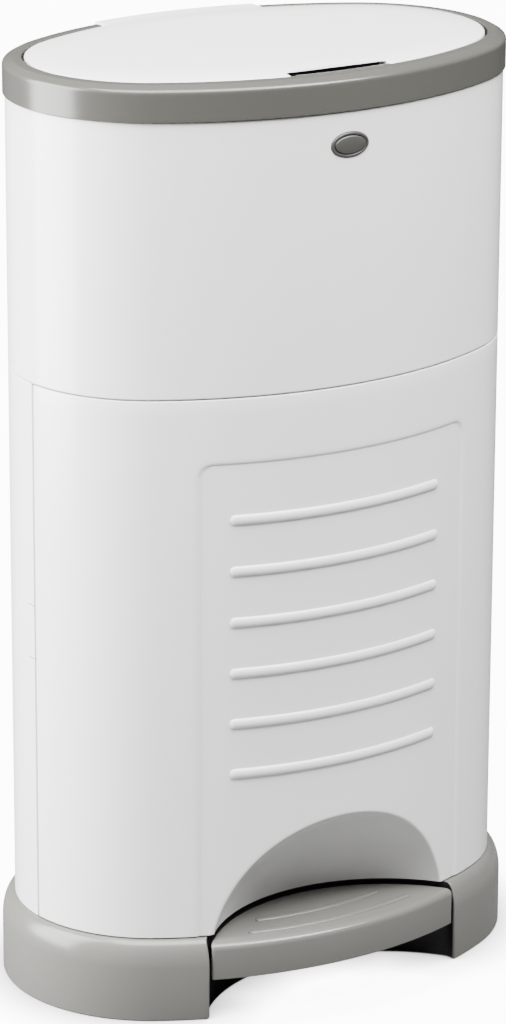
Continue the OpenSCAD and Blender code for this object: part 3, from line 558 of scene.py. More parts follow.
def bosses(low, high):
    bore, radius, soft = casing["screwRadius"], casing["bossRadius"], casing["bossSoft"]
    section = [(bore, low), (radius, low), (radius, high - soft), (radius - soft, high), (bore, high)]
    return [lathe("boss", section, (x, y, 0), steps=24) for x, y in bossPlaces()]


def makeCasing():
    low, ledge, soft = body["seam"] + casing["seamGap"], casing["ledge"], casing["soft"]
    flange = -casing["flange"]

    def section(top):
        return roundCorners([
            (0, low, soft), (0, top, soft), (-wall, top, soft), (-wall, ledge, 0.5), (flange, ledge, 0.4),
            (flange, ledge - wall, 0.4), (-wall, ledge - wall, 0), (-wall, low + wall, 0),
            (flange, low + wall, 0.4), (flange, low, 0.4)])

    plain, raised = section(casing["top"]), section(casing["top"] + casing["rearRise"])
    stepAt = 2 * quarter - arcTo(casing["rearHalf"])
    fine = [(stepAt - 0.4, stepAt + 2.4, 0.4), (around - stepAt - 2.4, around - stepAt + 0.4, 0.4)]
    places = spread(0, around, casing["columnStep"], fine)[:-1]

    def sectionAt(s):
        # The back's edge stands higher, with a rounded step of 2 mm at each end
        inside = quarter * 2 - stepAt - abs(s - 2 * quarter)
        t = min(1.0, max(0.0, inside / 2.0))
        rise = math.sqrt(1 - (1 - t) ** 2) if inside > 0 else 0.0
        return plain + rise * (raised - plain), s

    shell = skin("upperCasing", ovalLoops(places, sectionAt), ring=True)
    cut(shell, skin("hole", [ellipseLoop(button["fit"], -halfDepth + y) for y in (-5, 8)]))
    shell = join("upperCasing", shell, *bosses(low, casing["bossTop"]))
    dress(shell, "main_body", "white_shell", "upper_casing")


makeCasing()

# Rear shell, from the side seam round the back to the door's barrel
rear = {"low": 53.4, "leftEdge": 7.75, "rightSeam": 4.4, "flange": 12.0, "sideFlange": 2.5, "soft": 0.7,
        "catchLow": (-172.0, -20.0, 228.0), "catchHigh": (-153.0, -1.2, 264.0), "bossHigh": 20.0}


def makeRearShell():
    high = body["seam"] - casing["seamGap"]
    soft = rear["soft"]
    low, flange = rear["low"], -rear["flange"]
    section = roundCorners([(0, low, soft), (0, high, soft), (flange, high, 0.4), (flange, high - wall, 0.4),
                            (-wall, high - wall, 0.5), (-wall, low, 0.4)])
    start, stop = quarter + rear["rightSeam"], 3 * quarter + endArc(rear["leftEdge"])
    fine = [(start, start + soft, 0.12), (stop - soft, stop, 0.12)]
    places = spread(start, stop, casing["columnStep"], fine)

    def sectionAt(s):
        edge = min(s - start, stop - s, soft)
        drop = soft - math.sqrt(max(0.0, soft ** 2 - (soft - edge) ** 2))
        shaped = section.copy()
        shaped[:, 0] = np.minimum(shaped[:, 0], -drop)
        return shaped, s

    shell = skin("rearShell", ovalLoops(places, sectionAt))
    flangeSection = ringSection(-wall / 2, flange, low, high - 0.2)
    flanges = []
    for a, b in ((start, start + rear["sideFlange"]), (stop - rear["sideFlange"], stop)):
        flanges.append(strip(flangeSection, a + 0.05, b - 0.05, 1.2))
    for holed in (shell, flanges[1]):
        cut(holed, block(rear["catchLow"], rear["catchHigh"]))
    shell = join("rearShell", shell, *flanges, *bosses(low, low + rear["bossHigh"]))
    dress(shell, "main_body", "white_shell", "rear_shell")


makeRearShell()
print("casing and rear shell made")

# Door: one moulded sheet with the recessed panel and the niche over the pedal, in two skins
door = {"low": 54.2, "high": 408.6, "leftEdge": 9.25, "rightEdge": 0.75, "soft": 0.6,
        "panelHalf": 98.8, "panelMiddle": 2.2, "panelTop": 367.8, "panelCorner": 10.0, "panelDepth": 1.0,
        "panelSlope": 4.6, "panelFoot": 1.5, "nicheArc": 101.5, "nicheArcX": 15.0, "nicheArcZ": 32.3,
        "nicheWall": 2.5, "nicheFoot": 3.0, "nicheRound": 1.2, "blendTop": 135.0, "barrelX": 163.2,
        "barrelRadius": 3.6, "pinBore": 1.6, "boreDepth": 12.0, "flange": 8.0, "sideFlange": 12.0,
        "flangeThick": 2.5, "footInset": 1.6}
leftStop, rightStop = (quarter - endArc(door[k]) for k in ("leftEdge", "rightEdge"))


def nicheRadius(z, grow):
    # How far the niche's wall is from the well's axis at height z
    up = z - door["nicheArcZ"]
    return door["nicheArcX"] + np.sqrt(np.maximum((door["nicheArc"] + grow) ** 2 - up ** 2, 0))


def nicheHeight(radius, grow):
    # Height at which the niche reaches a point at that distance from the well's axis
    across = radius - door["nicheArcX"]
    up = np.sqrt(np.maximum((door["nicheArc"] + grow) ** 2 - across ** 2, 0))
    return np.maximum(door["nicheArcZ"] + up, door["low"])


def insideNiche(points, grow):
    # How deep inside the niche a point is; negative in the plastic
    radius = np.hypot(points[..., 0], points[..., 1] - wellCentre)
    away = np.hypot(radius - door["nicheArcX"], points[..., 2] - door["nicheArcZ"])
    return door["nicheArc"] + grow - away


def roundEdge(points, distances, radius, turns=6):
    # Moves points that lie near the edge of two surfaces onto a rounding between them
    def field(p):
        parts = np.stack([np.maximum(d + radius, 0) for d in distances(p)])
        return np.sqrt((parts ** 2).sum(0)) - radius

    for _ in range(turns):
        value = field(points)
        step = 1e-3
        slope = np.stack([(field(points + step * axis) - value) / step for axis in np.eye(3)], -1)
        size = np.maximum((slope ** 2).sum(-1), 1e-6)
        near = value > 0
        points = points - np.where(near, value / size, 0)[..., None] * slope
    return points


def doorSkin(outer):
    # The door's outer or inner surface as a grid of columns by rows
    e, grow = (-door["panelDepth"], 0.0) if outer else (-wall, door["nicheWall"])
    corner = float(arcTo(meetX(flatRadius + e, nicheRadius(door["low"], grow)), e))
    columns, usual = doorColumns["s"], doorColumns["corner"]
    stop = np.where(columns < 0, leftStop, rightStop)
    beyond = corner + (np.abs(columns) - usual) * (stop - corner) / (stop - usual)
    s = np.where(np.abs(columns) < usual, np.abs(columns) * corner / usual, beyond) * np.sign(columns)
    plainX, _ = ovalAt(s, 0.0)
    edgeDrop = doorColumns["drop"] if outer else 0 * s

    def wallRow(z, drop):
        x, y = ovalAt(s, (e * panelMask(plainX, z) if outer else e) - drop)
        return np.stack([x, y, z], 1)

    flatX, flatY = ovalAt(s, e)
    meet = nicheHeight(np.hypot(flatX, flatY - wellCentre), grow)
    turn = np.arctan2(flatY - wellCentre, flatX)
    inNiche = np.abs(s) < corner + 1e-6
    grid = [wallRow(np.full_like(s, z), np.maximum(drop if outer else 0, edgeDrop))
            for z, drop in doorRows["wall"]]
    grid += [wallRow(meet + (door["blendTop"] - meet) * t, edgeDrop) for t in doorRows["blend"]]
    for t in doorRows["niche"]:
        z = meet + (door["low"] - meet) * t
        radius = nicheRadius(z, grow)
        curved = np.stack([radius * np.cos(turn), wellCentre + radius * np.sin(turn), z], 1)
        grid.append(np.where(inNiche[:, None], curved, wallRow(z, edgeDrop)))
    grid = np.array(grid)

    def distances(p):
        return offsetOf(p[..., 0], p[..., 1]) - e, insideNiche(p, grow)

    near = np.abs(grid[..., 0] - door["panelMiddle"]) < door["panelHalf"] - door["panelFoot"]
    near &= grid[..., 2] < door["blendTop"] + 5
    rounded = roundEdge(grid, distances, door["nicheRound"] if outer else door["nicheRound"] / 2)
    return np.where(near[..., None], rounded, grid)


def panelMask(x, z):
    # 1 inside the recessed panel, 0 outside; between them a shoulder that steepens towards the panel
    radius = door["panelCorner"]
    acrossX = np.abs(x - door["panelMiddle"]) - (door["panelHalf"] - radius)
    acrossZ = z - (door["panelTop"] - radius)
    away = np.hypot(np.maximum(acrossX, 0), np.maximum(acrossZ, 0))
    away = away + np.minimum(np.maximum(acrossX, acrossZ), 0)
    t = np.clip((radius - away - door["panelFoot"]) / door["panelSlope"] + 1, 0, 1)
    return 0.3 * t ** 2 + 0.7 * t ** 6


def slopeSteps(edge):
    # Fine steps across the panel's shoulder, finest at its foot
    foot = edge - door["panelFoot"]
    top = foot + door["panelSlope"]
    return [(edge - 13, foot - 1, 1.0), (foot - 1, top + 0.5, 0.5), (foot - 0.5, foot + 1.7, 0.2)]


def doorSide(stop, edge, corner):
    # Column places from the middle to one side, with how far each is drawn in at the sheet's edge
    close = [d * d * 0.06 for d in range(1, 11)]
    half = [v for v in spread(0, stop, 4.0, slopeSteps(edge)) if not corner - 7 < v < corner + 1.6]
    half += [corner] + [corner - d for d in close] + [corner + d for d in (0.25, 0.6, 1.0)]
    rims = [(stop - door["soft"] + up, drop) for drop, up in quarterRound(door["soft"])]
    return sorted((v, 0.0) for v in half if v < stop - 1.5) + rims


def doorLayout():
    e, half, middle = -door["panelDepth"], door["panelHalf"], door["panelMiddle"]
    corner = float(arcTo(meetX(flatRadius + e, nicheRadius(door["low"], 0)), e))
    left = doorSide(leftStop, float(arcTo(half - middle)), corner)
    right = doorSide(rightStop, float(arcTo(half + middle)), corner)
    both = [(-s, drop) for s, drop in left[::-1] if s > 0] + right
    top = door["high"] - door["soft"]
    rows = [(top + up, drop) for drop, up in quarterRound(door["soft"])][::-1]
    zs = spread(door["blendTop"], top, 9.0, slopeSteps(door["panelTop"]))
    rows += [(z, 0.0) for z in zs[-2::-1]]
    blend = [0.8, 0.6, 0.42, 0.28, 0.17, 0.1, 0.055, 0.025]
    niche = [0, 0.006, 0.015, 0.03, 0.05, *np.linspace(0.075, 1, 38)]
    return ({"s": np.array([s for s, _ in both]), "drop": np.array([d for _, d in both]), "corner": corner},
            {"wall": rows, "blend": blend, "niche": niche})


doorColumns, doorRows = doorLayout()


def thickSheet(name, outer, inner):
    # Two grids of the same layout, closed along their edges
    rows, columns = outer.shape[:2]
    count = rows * columns
    index = np.arange(count).reshape(rows, columns).tolist()
    faces = []
    for here, below in zip(index, index[1:]):
        for a, b, c, d in zip(here, here[1:], below[1:], below):
            faces += [(a, b, c, d), (d + count, c + count, b + count, a + count)]
    edge = index[0] + [row[-1] for row in index[1:]] + index[-1][-2::-1]
    edge += [row[0] for row in index[-2:0:-1]]
    faces += [(q, p, p + count, q + count) for p, q in zip(edge, edge[1:] + edge[:1])]
    points = np.concatenate([outer.reshape(-1, 3), inner.reshape(-1, 3)])
    return faceOut(newObject(name, points, faces), 2e-6)


def makeDoor():
    sheet = thickSheet("door", doorSkin(True), doorSkin(False))
    low, high, flange, side = door["low"], door["high"], -door["flange"], -door["sideFlange"]
    topSection = ringSection(-wall / 2, flange, high - wall, high - 0.1)
    lowSection = ringSection(-wall / 2, flange, low + 0.1, low + wall)
    sideSection = ringSection(-wall / 2, side, low + 0.1, high - 0.1)
    inside = float(nicheRadius(low, door["nicheWall"]))
    lowStart = float(arcTo(meetX(flatRadius + flange, inside - 0.5), flange))
    strips = [strip(section, a, b, 4.0) for section, a, b in (
        (topSection, 0.1 - leftStop, rightStop - 0.1), (lowSection, 0.1 - leftStop, -lowStart),
        (lowSection, lowStart, rightStop - 0.1),
        (sideSection, 0.05 - leftStop, door["flangeThick"] - leftStop))]
    reach = inside + door["nicheFoot"]
    across, up = ringSection(reach, inside - 0.4, low + 0.1, low + 2, 0.3).T
    footTurn = math.asin(meetX(flatRadius - door["footInset"], reach) / reach)
    strips.append(skin("foot", [np.stack([across * math.sin(a), wellCentre + across * math.cos(a), up], 1)
                                for a in np.linspace(-footTurn, footTurn, 48)]))
    bore, barrel, deep = door["pinBore"], door["barrelRadius"], door["boreDepth"]
    section = [(bore, low), (barrel - 0.4, low), (barrel, low + 0.4), (barrel, high - 0.4),
               (barrel - 0.4, high), (bore, high), (bore, high - deep), (0, high - deep), (0, low + deep),
               (bore, low + deep)]
    tube = lathe("barrel", section, (door["barrelX"], 0, 0))
    sheet = join("doorShell", sheet, *strips, tube)
    dress(sheet, "door", "white_shell", "door_panel", sharp=28)


makeDoor()
print("door made")

# Base skirt: a closed stack of loops round the oval with the pedal well bitten out of its front
# Two of these values give the thickness and the upper turns of the near-black sheet of painted shade in the
# pedal's well
base = {"flare": 8.3, "low": 0.6, "straight": 36.0, "deck": 3.0, "wellWall": 2.5, "corner": 1.2,
        "wellRound": 0.5, "rim": 0.5, "shadeSheet": 0.3, "ringPoints": 232, "cornerPoints": 7,
        "footX": 132.0, "footY": 38.0, "footHigh": 3.0, "footBore": 4.02, "footPost": 11.0,
        "rodY": 91.3, "rodHole": 5.5, "pinHole": 1.57, "socket": 5.0, "socketDeep": 7.0, "screwHole": 1.7,
        "slot": (28.0, 40.0), "slotLow": (-70.0, 17.0), "slotHigh": (-46.0, 49.0),
        "shoulder": [*np.linspace(0, 60, 11), 65, 70, 74, 78, 81, 84, 87, 90],
        "shadeSheetTurns": (0.35, 0.7, 0.95, 1.15, 1.3, 1.4)}


def baseLoop(e, grown, corner, z):
    # The oval grown by e without the well, its two front corners rounded
    centre, facing, edge = wellCorner(flatRadius + e, grown, grown, corner)
    onOval = math.atan2(centre[0], flatCentre - centre[1])
    first = flatRadius * onOval
    oval = np.stack(ovalAt(np.linspace(first, around - first, base["ringPoints"]), e), 1)
    turns = np.linspace(-math.pi / 2 + onOval, facing - math.pi, base["cornerPoints"] + 2)[1:-1]
    bend = centre + corner * np.stack([np.cos(turns), np.sin(turns)], 1)
    return atHeight(np.concatenate([oval, bend * mirror, edge * mirror, edge[-2::-1], bend[::-1]]), z)


def shadeSheetMesh(loops):
    # A closed thin sheet from open rows of points
    rows, count = len(loops), len(loops[0])
    faces = []
    for i in range(rows):
        a, b = i * count, (i + 1) % rows * count
        faces += [(a + j, a + j + 1, b + j + 1, b + j) for j in range(count - 1)]
    first = [i * count for i in range(rows)]
    faces += [first, [v + count - 1 for v in first[::-1]]]
    return faceOut(newObject("wellLining", np.concatenate(loops), faces))


def makeBase():
    top, low, straight, flare = body["baseTop"], base["low"], base["straight"], base["flare"]
    under, rim, wellRound, corner = top - base["deck"], base["rim"], base["wellRound"], base["corner"]
    loops = []
    for turn in np.radians(np.linspace(90, 0, 13)):
        loops.append(baseLoop((flare - wall) * math.cos(turn), base["wellWall"], 0.6,
                              straight + (under - straight) * math.sin(turn)))
    for inset, up in quarterRound(rim, 3):
        loops.append(baseLoop(flare - wall + inset, base["wellWall"] - inset, 0.8, low + rim - up))
    for inset, up in quarterRound(rim, 3)[::-1]:
        loops.append(baseLoop(flare - inset, inset, corner, low + rim - up))
    for turn in np.radians(base["shoulder"]):
        z = straight + (top - straight) * math.sin(turn)
        up = max(0.0, z - (top - wellRound)) / wellRound
        back = wellRound * (1 - math.sqrt(max(0.0, 1 - up * up)))
        loops.append(baseLoop(flare * math.cos(turn), back, corner, z))
    loops.append(baseLoop(-1.0, wellRound + 0.8, corner, top))
    skirt = skin("baseSkirt", loops)
    near, far = base["slot"]
    for left, right in ((near, far), (-far, -near)):
        cut(skirt, block((left, *base["slotLow"]), (right, *base["slotHigh"])))
    cut(skirt, cylinder(base["rodHole"], under - 1, top + 1, 0, base["rodY"]))
    cut(skirt, cylinder(base["pinHole"], under - 3, top + 1, door["barrelX"], 0, 24))
    for x, y in bossPlaces():
        cut(skirt, cylinder(base["screwHole"], under - 1, top + 1, x, y, 24))
    bore, post, high = base["footBore"], base["footPost"], base["footHigh"]
    section = roundCorners([(bore, high, 0), (post, high, 0.4), (post, under + 1, 0), (bore, under + 1, 0)])
    posts = [lathe("post", section, (sx * base["footX"], sy * base["footY"], 0), steps=40)
             for sx in (-1, 1) for sy in (-1, 1)]
    hole, out, deep = base["pinHole"], base["socket"], under - base["socketDeep"]
    socket = lathe("socket", [(hole, deep), (out, deep), (out, under + 1), (hole, under + 1)],
                   (door["barrelX"], 0, 0))
    skirt = join("baseSkirt", skirt, *posts, socket)
    dress(skirt, "main_body", "grey_moulding", "base_skirt", sharp=30)
    # A thin near-black sheet of painted shade round the pedal's well, standing in for the shade inside the
    # open base
    levels = [(low + 0.6, 0.0), (straight, 0.0)]
    levels += [(straight + (top - straight) * math.sin(a), a) for a in base["shadeSheetTurns"]]
    loops = []
    for away, rows in ((0.02, levels), (-base["shadeSheet"], levels[::-1])):
        for z, a in rows:
            _, _, edge = wellCorner(flatRadius + flare * math.cos(a), away, away, corner)
            loops.append(atHeight(np.concatenate([edge * mirror, edge[-2::-1]]), z))
    shadeSheet = shadeSheetMesh(loops)
    dress(shadeSheet, "main_body", "dark_moulding", finish="well_black", sharp=30)


makeBase()

# Pedal: a hollow plate between the front arc and the well's curve
pedal = {"out": 7.3, "backGap": 3.0, "sideGap": 2.0, "low": 26.5, "top": 50.5, "frontRound": 4.0,
         "backRound": 1.8, "roofRound": 1.5, "roofTip": 1.2, "insideRound": 0.5, "lowRound": 0.6,
         "tip": 1.6, "skin": 2.8, "frontPoints": 120, "tipPoints": 9, "armPocket": (29.5, 38.5),
         "armY": (-70.0, -48.0)}


def pedalLoop(front, back, tip, z):
    # The plate's edge drawn in by front and back, with its two corners rounded by tip
    radius = flatRadius + pedal["out"] - front
    centre, facing, edge = wellCorner(radius, -pedal["sideGap"] - back, -pedal["backGap"] - back, -tip)
    onFront = math.atan2(centre[0], flatCentre - centre[1])
    arc = np.linspace(-onFront, onFront, pedal["frontPoints"])
    arc = np.stack([radius * np.sin(arc), flatCentre - radius * np.cos(arc)], 1)
    turns = np.linspace(-math.pi / 2 + onFront, facing, pedal["tipPoints"] + 2)[1:-1]
    bend = centre + tip * np.stack([np.cos(turns), np.sin(turns)], 1)
    return atHeight(np.concatenate([arc, bend, edge, edge[-2::-1] * mirror, bend[::-1] * mirror]), z)


def makePedal():
    low, top, thick, tip = pedal["low"], pedal["top"], pedal["skin"], pedal["tip"]
    frontRound, backRound = pedal["frontRound"], pedal["backRound"]
    roof, inner, outer = pedal["roofRound"], pedal["insideRound"], pedal["lowRound"]
    loops = []
    for inset, up in quarterRound(roof, 3)[::-1]:
        loops.append(pedalLoop(thick + inset, thick + inset, pedal["roofTip"], top - thick - roof + up))
    for inset, up in quarterRound(inner, 3):
        loops.append(pedalLoop(thick - inset, thick - inset, tip, low + inner - up))
    for inset, up in quarterRound(outer, 3)[::-1]:
        loops.append(pedalLoop(inset, inset, tip, low + outer - up))
    loops.append(pedalLoop(0, 0, tip, top - frontRound - 0.8))
    for inset, up in quarterRound(frontRound, 10):
        z = top - frontRound + up
        over = max(0.0, z - (top - backRound)) / backRound
        loops.append(pedalLoop(inset, backRound * (1 - math.sqrt(max(0.0, 1 - over * over))), tip, z))
    loops.append(pedalLoop(frontRound + 1, backRound + 1, tip, top))
    pad = skin("pedal", loops)
    near, far = pedal["armPocket"]
    front, back = pedal["armY"]
    for left, right in ((near, far), (-far, -near)):
        cut(pad, block((left, front, low - 1), (right, back, top - thick)))
    dress(pad, "pedal", "grey_moulding", "pedal_pad", sharp=30)


makePedal()
print("base and pedal made")

# Rim ring: a hollow bead on the casing, cut away at the back for the lid's tab
rim = {"out": 1.5, "inner": -10.5, "deck": 598.6, "notchHalf": 60.5, "endWall": 2.0,
       "tongueHalf": 34.0, "tongue": 3.5, "tongueStep": 0.2, "columnStep": 3.5, "weld": 0.02}


def rimSections():
    # The bead's hollow section, and a full one for its end walls
    out, inner, top, under, deck = rim["out"], rim["inner"], body["top"], body["rimUnder"], rim["deck"]
    outside = [(out, under, 0.4), (out, top - 3.3, 3.2), (out - 5.6, top - 0.3, 3.0), (inner, top, 0.7),
               (inner, deck, 0)]
    hollow = [(inner + 2, deck, 0), (inner + 2, top - 2.5, 0.3), (out - 5, top - 3, 1.0),
              (out - 2.5, top - 5.2, 1.0), (out - 2.5, under, 0.4)]
    full = [(out - 3, deck, 0), (out - 3, under, 0)]
    return roundCorners(outside + hollow, steps=6), roundCorners(outside + full, steps=6)


def makeRimRing():
    hollow, full = rimSections()
    innerSide = rim["inner"] + 2.6

    def bend(s):
        # The inner leg steps inwards in front of the finger slot
        x, _ = ovalAt(s, rim["inner"])
        inside = rim["tongueHalf"] + 1.2 - abs(x - body["slotMiddle"])
        t = np.clip(inside / 2.4, 0, 1) if abs(s) < quarter else 0.0
        t = float(t * t * (3 - 2 * t))
        shaped = hollow.copy()
        near = np.clip((innerSide - hollow[:, 0]) / 2.2, 0, 1)
        shaped[:, 0] -= rim["tongue"] * t * near
        shaped[:, 1] -= rim["tongueStep"] * t * near * (hollow[:, 1] > rim["deck"] + 1)
        return shaped

    def stops(section, x):
        return 2 * quarter - arcTo(x, section[:, 0])

    reach = 2 * quarter - float(arcTo(rim["notchHalf"]))
    left, right = (float(arcTo(body["slotMiddle"] + side * rim["tongueHalf"], rim["inner"]))
                   for side in (-1, 1))
    fine = [(left - 2.6, left + 2.2, 0.3), (right - 2.2, right + 2.6, 0.3)]

    def sectionAt(u):
        shaped = bend(u * reach)
        return shaped, u * stops(shaped, rim["notchHalf"])

    ring = skin("rimRing", ovalLoops(spread(-reach, reach, rim["columnStep"], fine) / reach, sectionAt))
    walls = [rim["notchHalf"] + rim["weld"], rim["notchHalf"] + rim["endWall"]]
    ends = [skin("end", ovalLoops(walls, lambda x, side=side: (full, side * stops(full, x))))
            for side in (-1, 1)]
    ring = join("rimRing", ring, *ends)
    dress(ring, "top_unit", "grey_moulding", "rim_ring", finish="ring_grey", sharp=34)


makeRimRing()

# Lid: a crowned plate with a finger slot in front and a hinge tab at the back
lid = {"edge": -12.3, "under": 601.5, "crown": 1.4, "crownRun": 22.0, "slotHalf": 35.8, "slotY": -88.0,
       "tabHalf": 59.0, "tabOut": 1.5, "bottomRound": 0.5, "topRound": 1.3, "outerCorner": 1.6,
       "innerCorner": 3.0, "tabCorner": 2.2, "edgeStep": 4.0, "grid": 7.0, "hingeY": 103.5, "hingeZ": 598.5,
       "knuckle": 4.2, "knuckleGap": 0.5, "pinBore": 2.05, "knuckleX": (14.0, 34.0), "lipY": 108.8,
       "lipUnder": 600.0, "lipInset": 0.3, "slotRoof": 604.9, "sealInner": -30.0}


def lidSide(slotEnd):
    # From the finger slot's end on the right round to the tab at the back
    tab, back = lid["tabHalf"], 2 * quarter

    def edgePoints(start, stop, e):
        xs, ys = ovalAt(np.linspace(start, stop, round((stop - start) / lid["edgeStep"])), e)
        return [[float(x), float(y), 0.0] for x, y in zip(xs, ys)]

    e = lid["edge"]
    corners = edgePoints(float(arcTo(slotEnd, e)), back - float(arcTo(tab, e)), e)
    corners[0][2], corners[-1][2] = lid["outerCorner"], lid["innerCorner"]
    tabPoints = edgePoints(back - float(arcTo(tab, lid["tabOut"])), back, lid["tabOut"])
    tabPoints[0][2] = lid["tabCorner"]
    return [[slotEnd, lid["slotY"], lid["innerCorner"]]] + corners + tabPoints


def lidOutline():
    left = [[-x, y, r] for x, y, r in lidSide(lid["slotHalf"] - body["slotMiddle"])[::-1] if abs(x) > 1e-6]
    return roundCorners(lidSide(lid["slotHalf"] + body["slotMiddle"]) + left, steps=6)


def insetLoop(outline, inset, z):
    def unit(steps):
        return steps / np.linalg.norm(steps, axis=1)[:, None]

    along = unit(unit(np.roll(outline, -1, 0) - outline) + unit(outline - np.roll(outline, 1, 0)))
    return atHeight(outline + np.stack([-along[:, 1], along[:, 0]], 1) * inset, z)


def crownOver(e):
    t = np.clip((lid["edge"] - lid["topRound"] - e) / lid["crownRun"], 0, 1)
    return lid["crown"] * (1 - (1 - t) ** 2)


def crownPlate(plate, top):
    # Cuts the flat top into a grid and lifts it into its crown
    bm = bmesh.new()
    bm.from_mesh(plate.data)
    cap = [f for f in bm.faces if len(f.verts) > 50 and f.calc_center_median().z > (top - 0.2) * mm]
    for axis, reach in ((0, halfLength), (1, halfDepth)):
        for place in np.arange(-reach, reach, lid["grid"]):
            point, normal = Vector((0, 0, 0)), Vector((0, 0, 0))
            point[axis], normal[axis] = place * mm, 1
            geom = list({v for f in cap for v in f.verts}) + list({g for f in cap for g in f.edges}) + cap
            halves = bmesh.ops.bisect_plane(bm, geom=geom, plane_co=point, plane_no=normal, dist=1e-7)
            cap = [g for g in halves["geom"] if isinstance(g, bmesh.types.BMFace)]
    for v in {v for f in cap for v in f.verts}:
        v.co.z = (top + float(crownOver(offsetOf(v.co.x / mm, v.co.y / mm)))) * mm
    bmesh.ops.triangulate(bm, faces=[f for f in cap if len(f.verts) > 4])
    bmesh.ops.recalc_face_normals(bm, faces=bm.faces)
    bm.to_mesh(plate.data)
    bm.free()


def makeLid():
    outline = lidOutline()
    top, under = body["top"], lid["under"]
    loops = [insetLoop(outline, inset, under + lid["bottomRound"] - up)
             for inset, up in quarterRound(lid["bottomRound"], 3)[::-1]]
    loops += [insetLoop(outline, inset, top - lid["topRound"] + up)
              for inset, up in quarterRound(lid["topRound"], 6)]
    plate = skin("lid", loops)
    crownPlate(plate, top)
    ends = [body["slotMiddle"] + side * lid["slotHalf"] for side in (-1, 1)]
    left, right = (float(arcTo(x, lid["sealInner"])) for x in ends)
    arcX, arcY = ovalAt(np.linspace(right, left, 40), lid["sealInner"])
    bay = [(ends[0], -100), (ends[1], -100)] + list(zip(arcX, arcY))
    cut(plate, skin("undercut", [atHeight(bay, h) for h in (under - 1, lid["slotRoof"])]))
    y, z, knuckle = lid["hingeY"], lid["hingeZ"], lid["knuckle"]
    near, far = lid["knuckleX"]
    for low, high in ((far + 1, lid["tabHalf"] + 1), (-lid["tabHalf"] - 1, -far - 1), (1 - near, near - 1)):
        cut(plate, cylinder(knuckle + lid["knuckleGap"], low, high, y, z, lying=True))
    barrels = []
    for low, high in ((near, far), (-far, -near)):
        section = ringSection(knuckle, lid["pinBore"], low, high, 0.3)
        barrels.append(lathe("knuckle", section, (0, y, z), lying=True, steps=40))
    reach = flatRadius + lid["tabOut"] - lid["lipInset"]
    lipHalf = math.sqrt(reach ** 2 - (lid["lipY"] + flatCentre) ** 2)
    across = np.linspace(-lipHalf, lipHalf, 24)
    crescent = [(x, math.sqrt(reach ** 2 - x * x) - flatCentre) for x in across]
    crescent += [(x, lid["lipY"] - 0.01) for x in across[::-1][1:-1]]
    lip = skin("lip", [atHeight(crescent, h) for h in (lid["lipUnder"], under + 1)])
    plate = join("lidPanel", plate, *barrels, lip)
    dress(plate, "lid", "white_shell", "lid_panel", sharp=30)


makeLid()
print("rim ring and lid made")


# Release button and its bezel

def makeButton():
    front = -halfDepth - button["bezelFront"]
    back = front + button["bezelDepth"]
    inner = -button["rim"]
    corners = [(0, back, 0.3), (0, front, 0.9), (inner, front, 0.7), (inner, back, 0.3)]
    section = roundCorners(corners, steps=5)
    bezel = skin("buttonBezel", [ellipseLoop(grow, y) for grow, y in section], ring=True)
    dress(bezel, "main_body", "button_grey", "button_bezel", sharp=40)
    edge = inner - button["gap"]
    face = -halfDepth - button["front"]
    loops = [ellipseLoop(edge, button["back"])]
    loops += [ellipseLoop(edge - inset, face + button["softSink"] - up)
              for inset, up in quarterRound(button["soft"], 5)]
    loops += [ellipseLoop(edge - inset, face + sink) for inset, sink in button["dish"]]
    press = skin("releaseButton", loops)
    dress(press, "button", "button_grey", "release_button", sharp=40)


makeButton()

# Bars that follow the body's flat arc: the door's ribs and the pedal's grip ridges


def newShapeTree(name, inputs):
    inputs = [("Geometry", "Geometry"), *inputs, ("Material", "Material")]
    return newTree(name, "GeometryNodeTree", inputs, [("Geometry", "Geometry")])


def endTree(tree, get, instances):
    real = addNode(tree, "GeometryNodeRealizeInstances", Geometry=instances)
    finish = addNode(tree, "GeometryNodeSetMaterial", Geometry=real, Material=get["Material"])
    addNode(tree, "NodeGroupOutput", Geometry=finish)
    return tree


def makeArcBars():
    tree, get = newShapeTree("bars on an arc", [
        ("First centre", "Vector"), ("Step", "Vector"), ("Count", "Int"), ("Radius", "Float"),
        ("Sweep", "Float"), ("Rise", "Float"), ("Half width", "Float"), ("Round end", "Float"),
        ("Points", "Int")])

    def calc(operation, *values):
        return mathNode(tree, operation, *values)

    start = calc("SUBTRACT", -math.pi / 2, calc("MULTIPLY", get["Sweep"], 0.5))
    arc = addNode(tree, "GeometryNodeCurveArc", {"mode": "RADIUS"}, Resolution=get["Points"],
                  Radius=get["Radius"], Start_Angle=start, Sweep_Angle=get["Sweep"])
    along = addNode(tree, "GeometryNodeSplineParameter").outputs["Length"]
    left = calc("SUBTRACT", calc("MULTIPLY", get["Radius"], get["Sweep"]), along)
    part = calc("MINIMUM", calc("DIVIDE", calc("MINIMUM", left, along), get["Round end"]), 1.0)
    rest = calc("SUBTRACT", 1.0, part)
    # The ends keep a little width, so that no face is lost
    taper = calc("SQRT", calc("MAXIMUM", calc("SUBTRACT", 1.0, calc("MULTIPLY", rest, rest)), 0.002))
    upright = addNode(tree, "GeometryNodeSetCurveNormal", Curve=arc)
    upright.mode = "Z_UP"
    profile = addNode(tree, "GeometryNodeCurvePrimitiveCircle", Resolution=20, Radius=1.0)
    scale = addNode(tree, "ShaderNodeCombineXYZ", X=get["Rise"], Y=get["Half width"], Z=1.0)
    shaped = addNode(tree, "GeometryNodeTransform", Geometry=profile, Scale=scale)
    swept = addNode(tree, "GeometryNodeCurveToMesh", Curve=upright, Profile_Curve=shaped, Fill_Caps=True,
                    Scale=taper)
    row = addNode(tree, "GeometryNodeMeshLine", {"mode": "OFFSET"}, Count=get["Count"],
                  Start_Location=get["First centre"], Offset=get["Step"])
    return endTree(tree, get, addNode(tree, "GeometryNodeInstanceOnPoints", Points=row, Instance=swept))


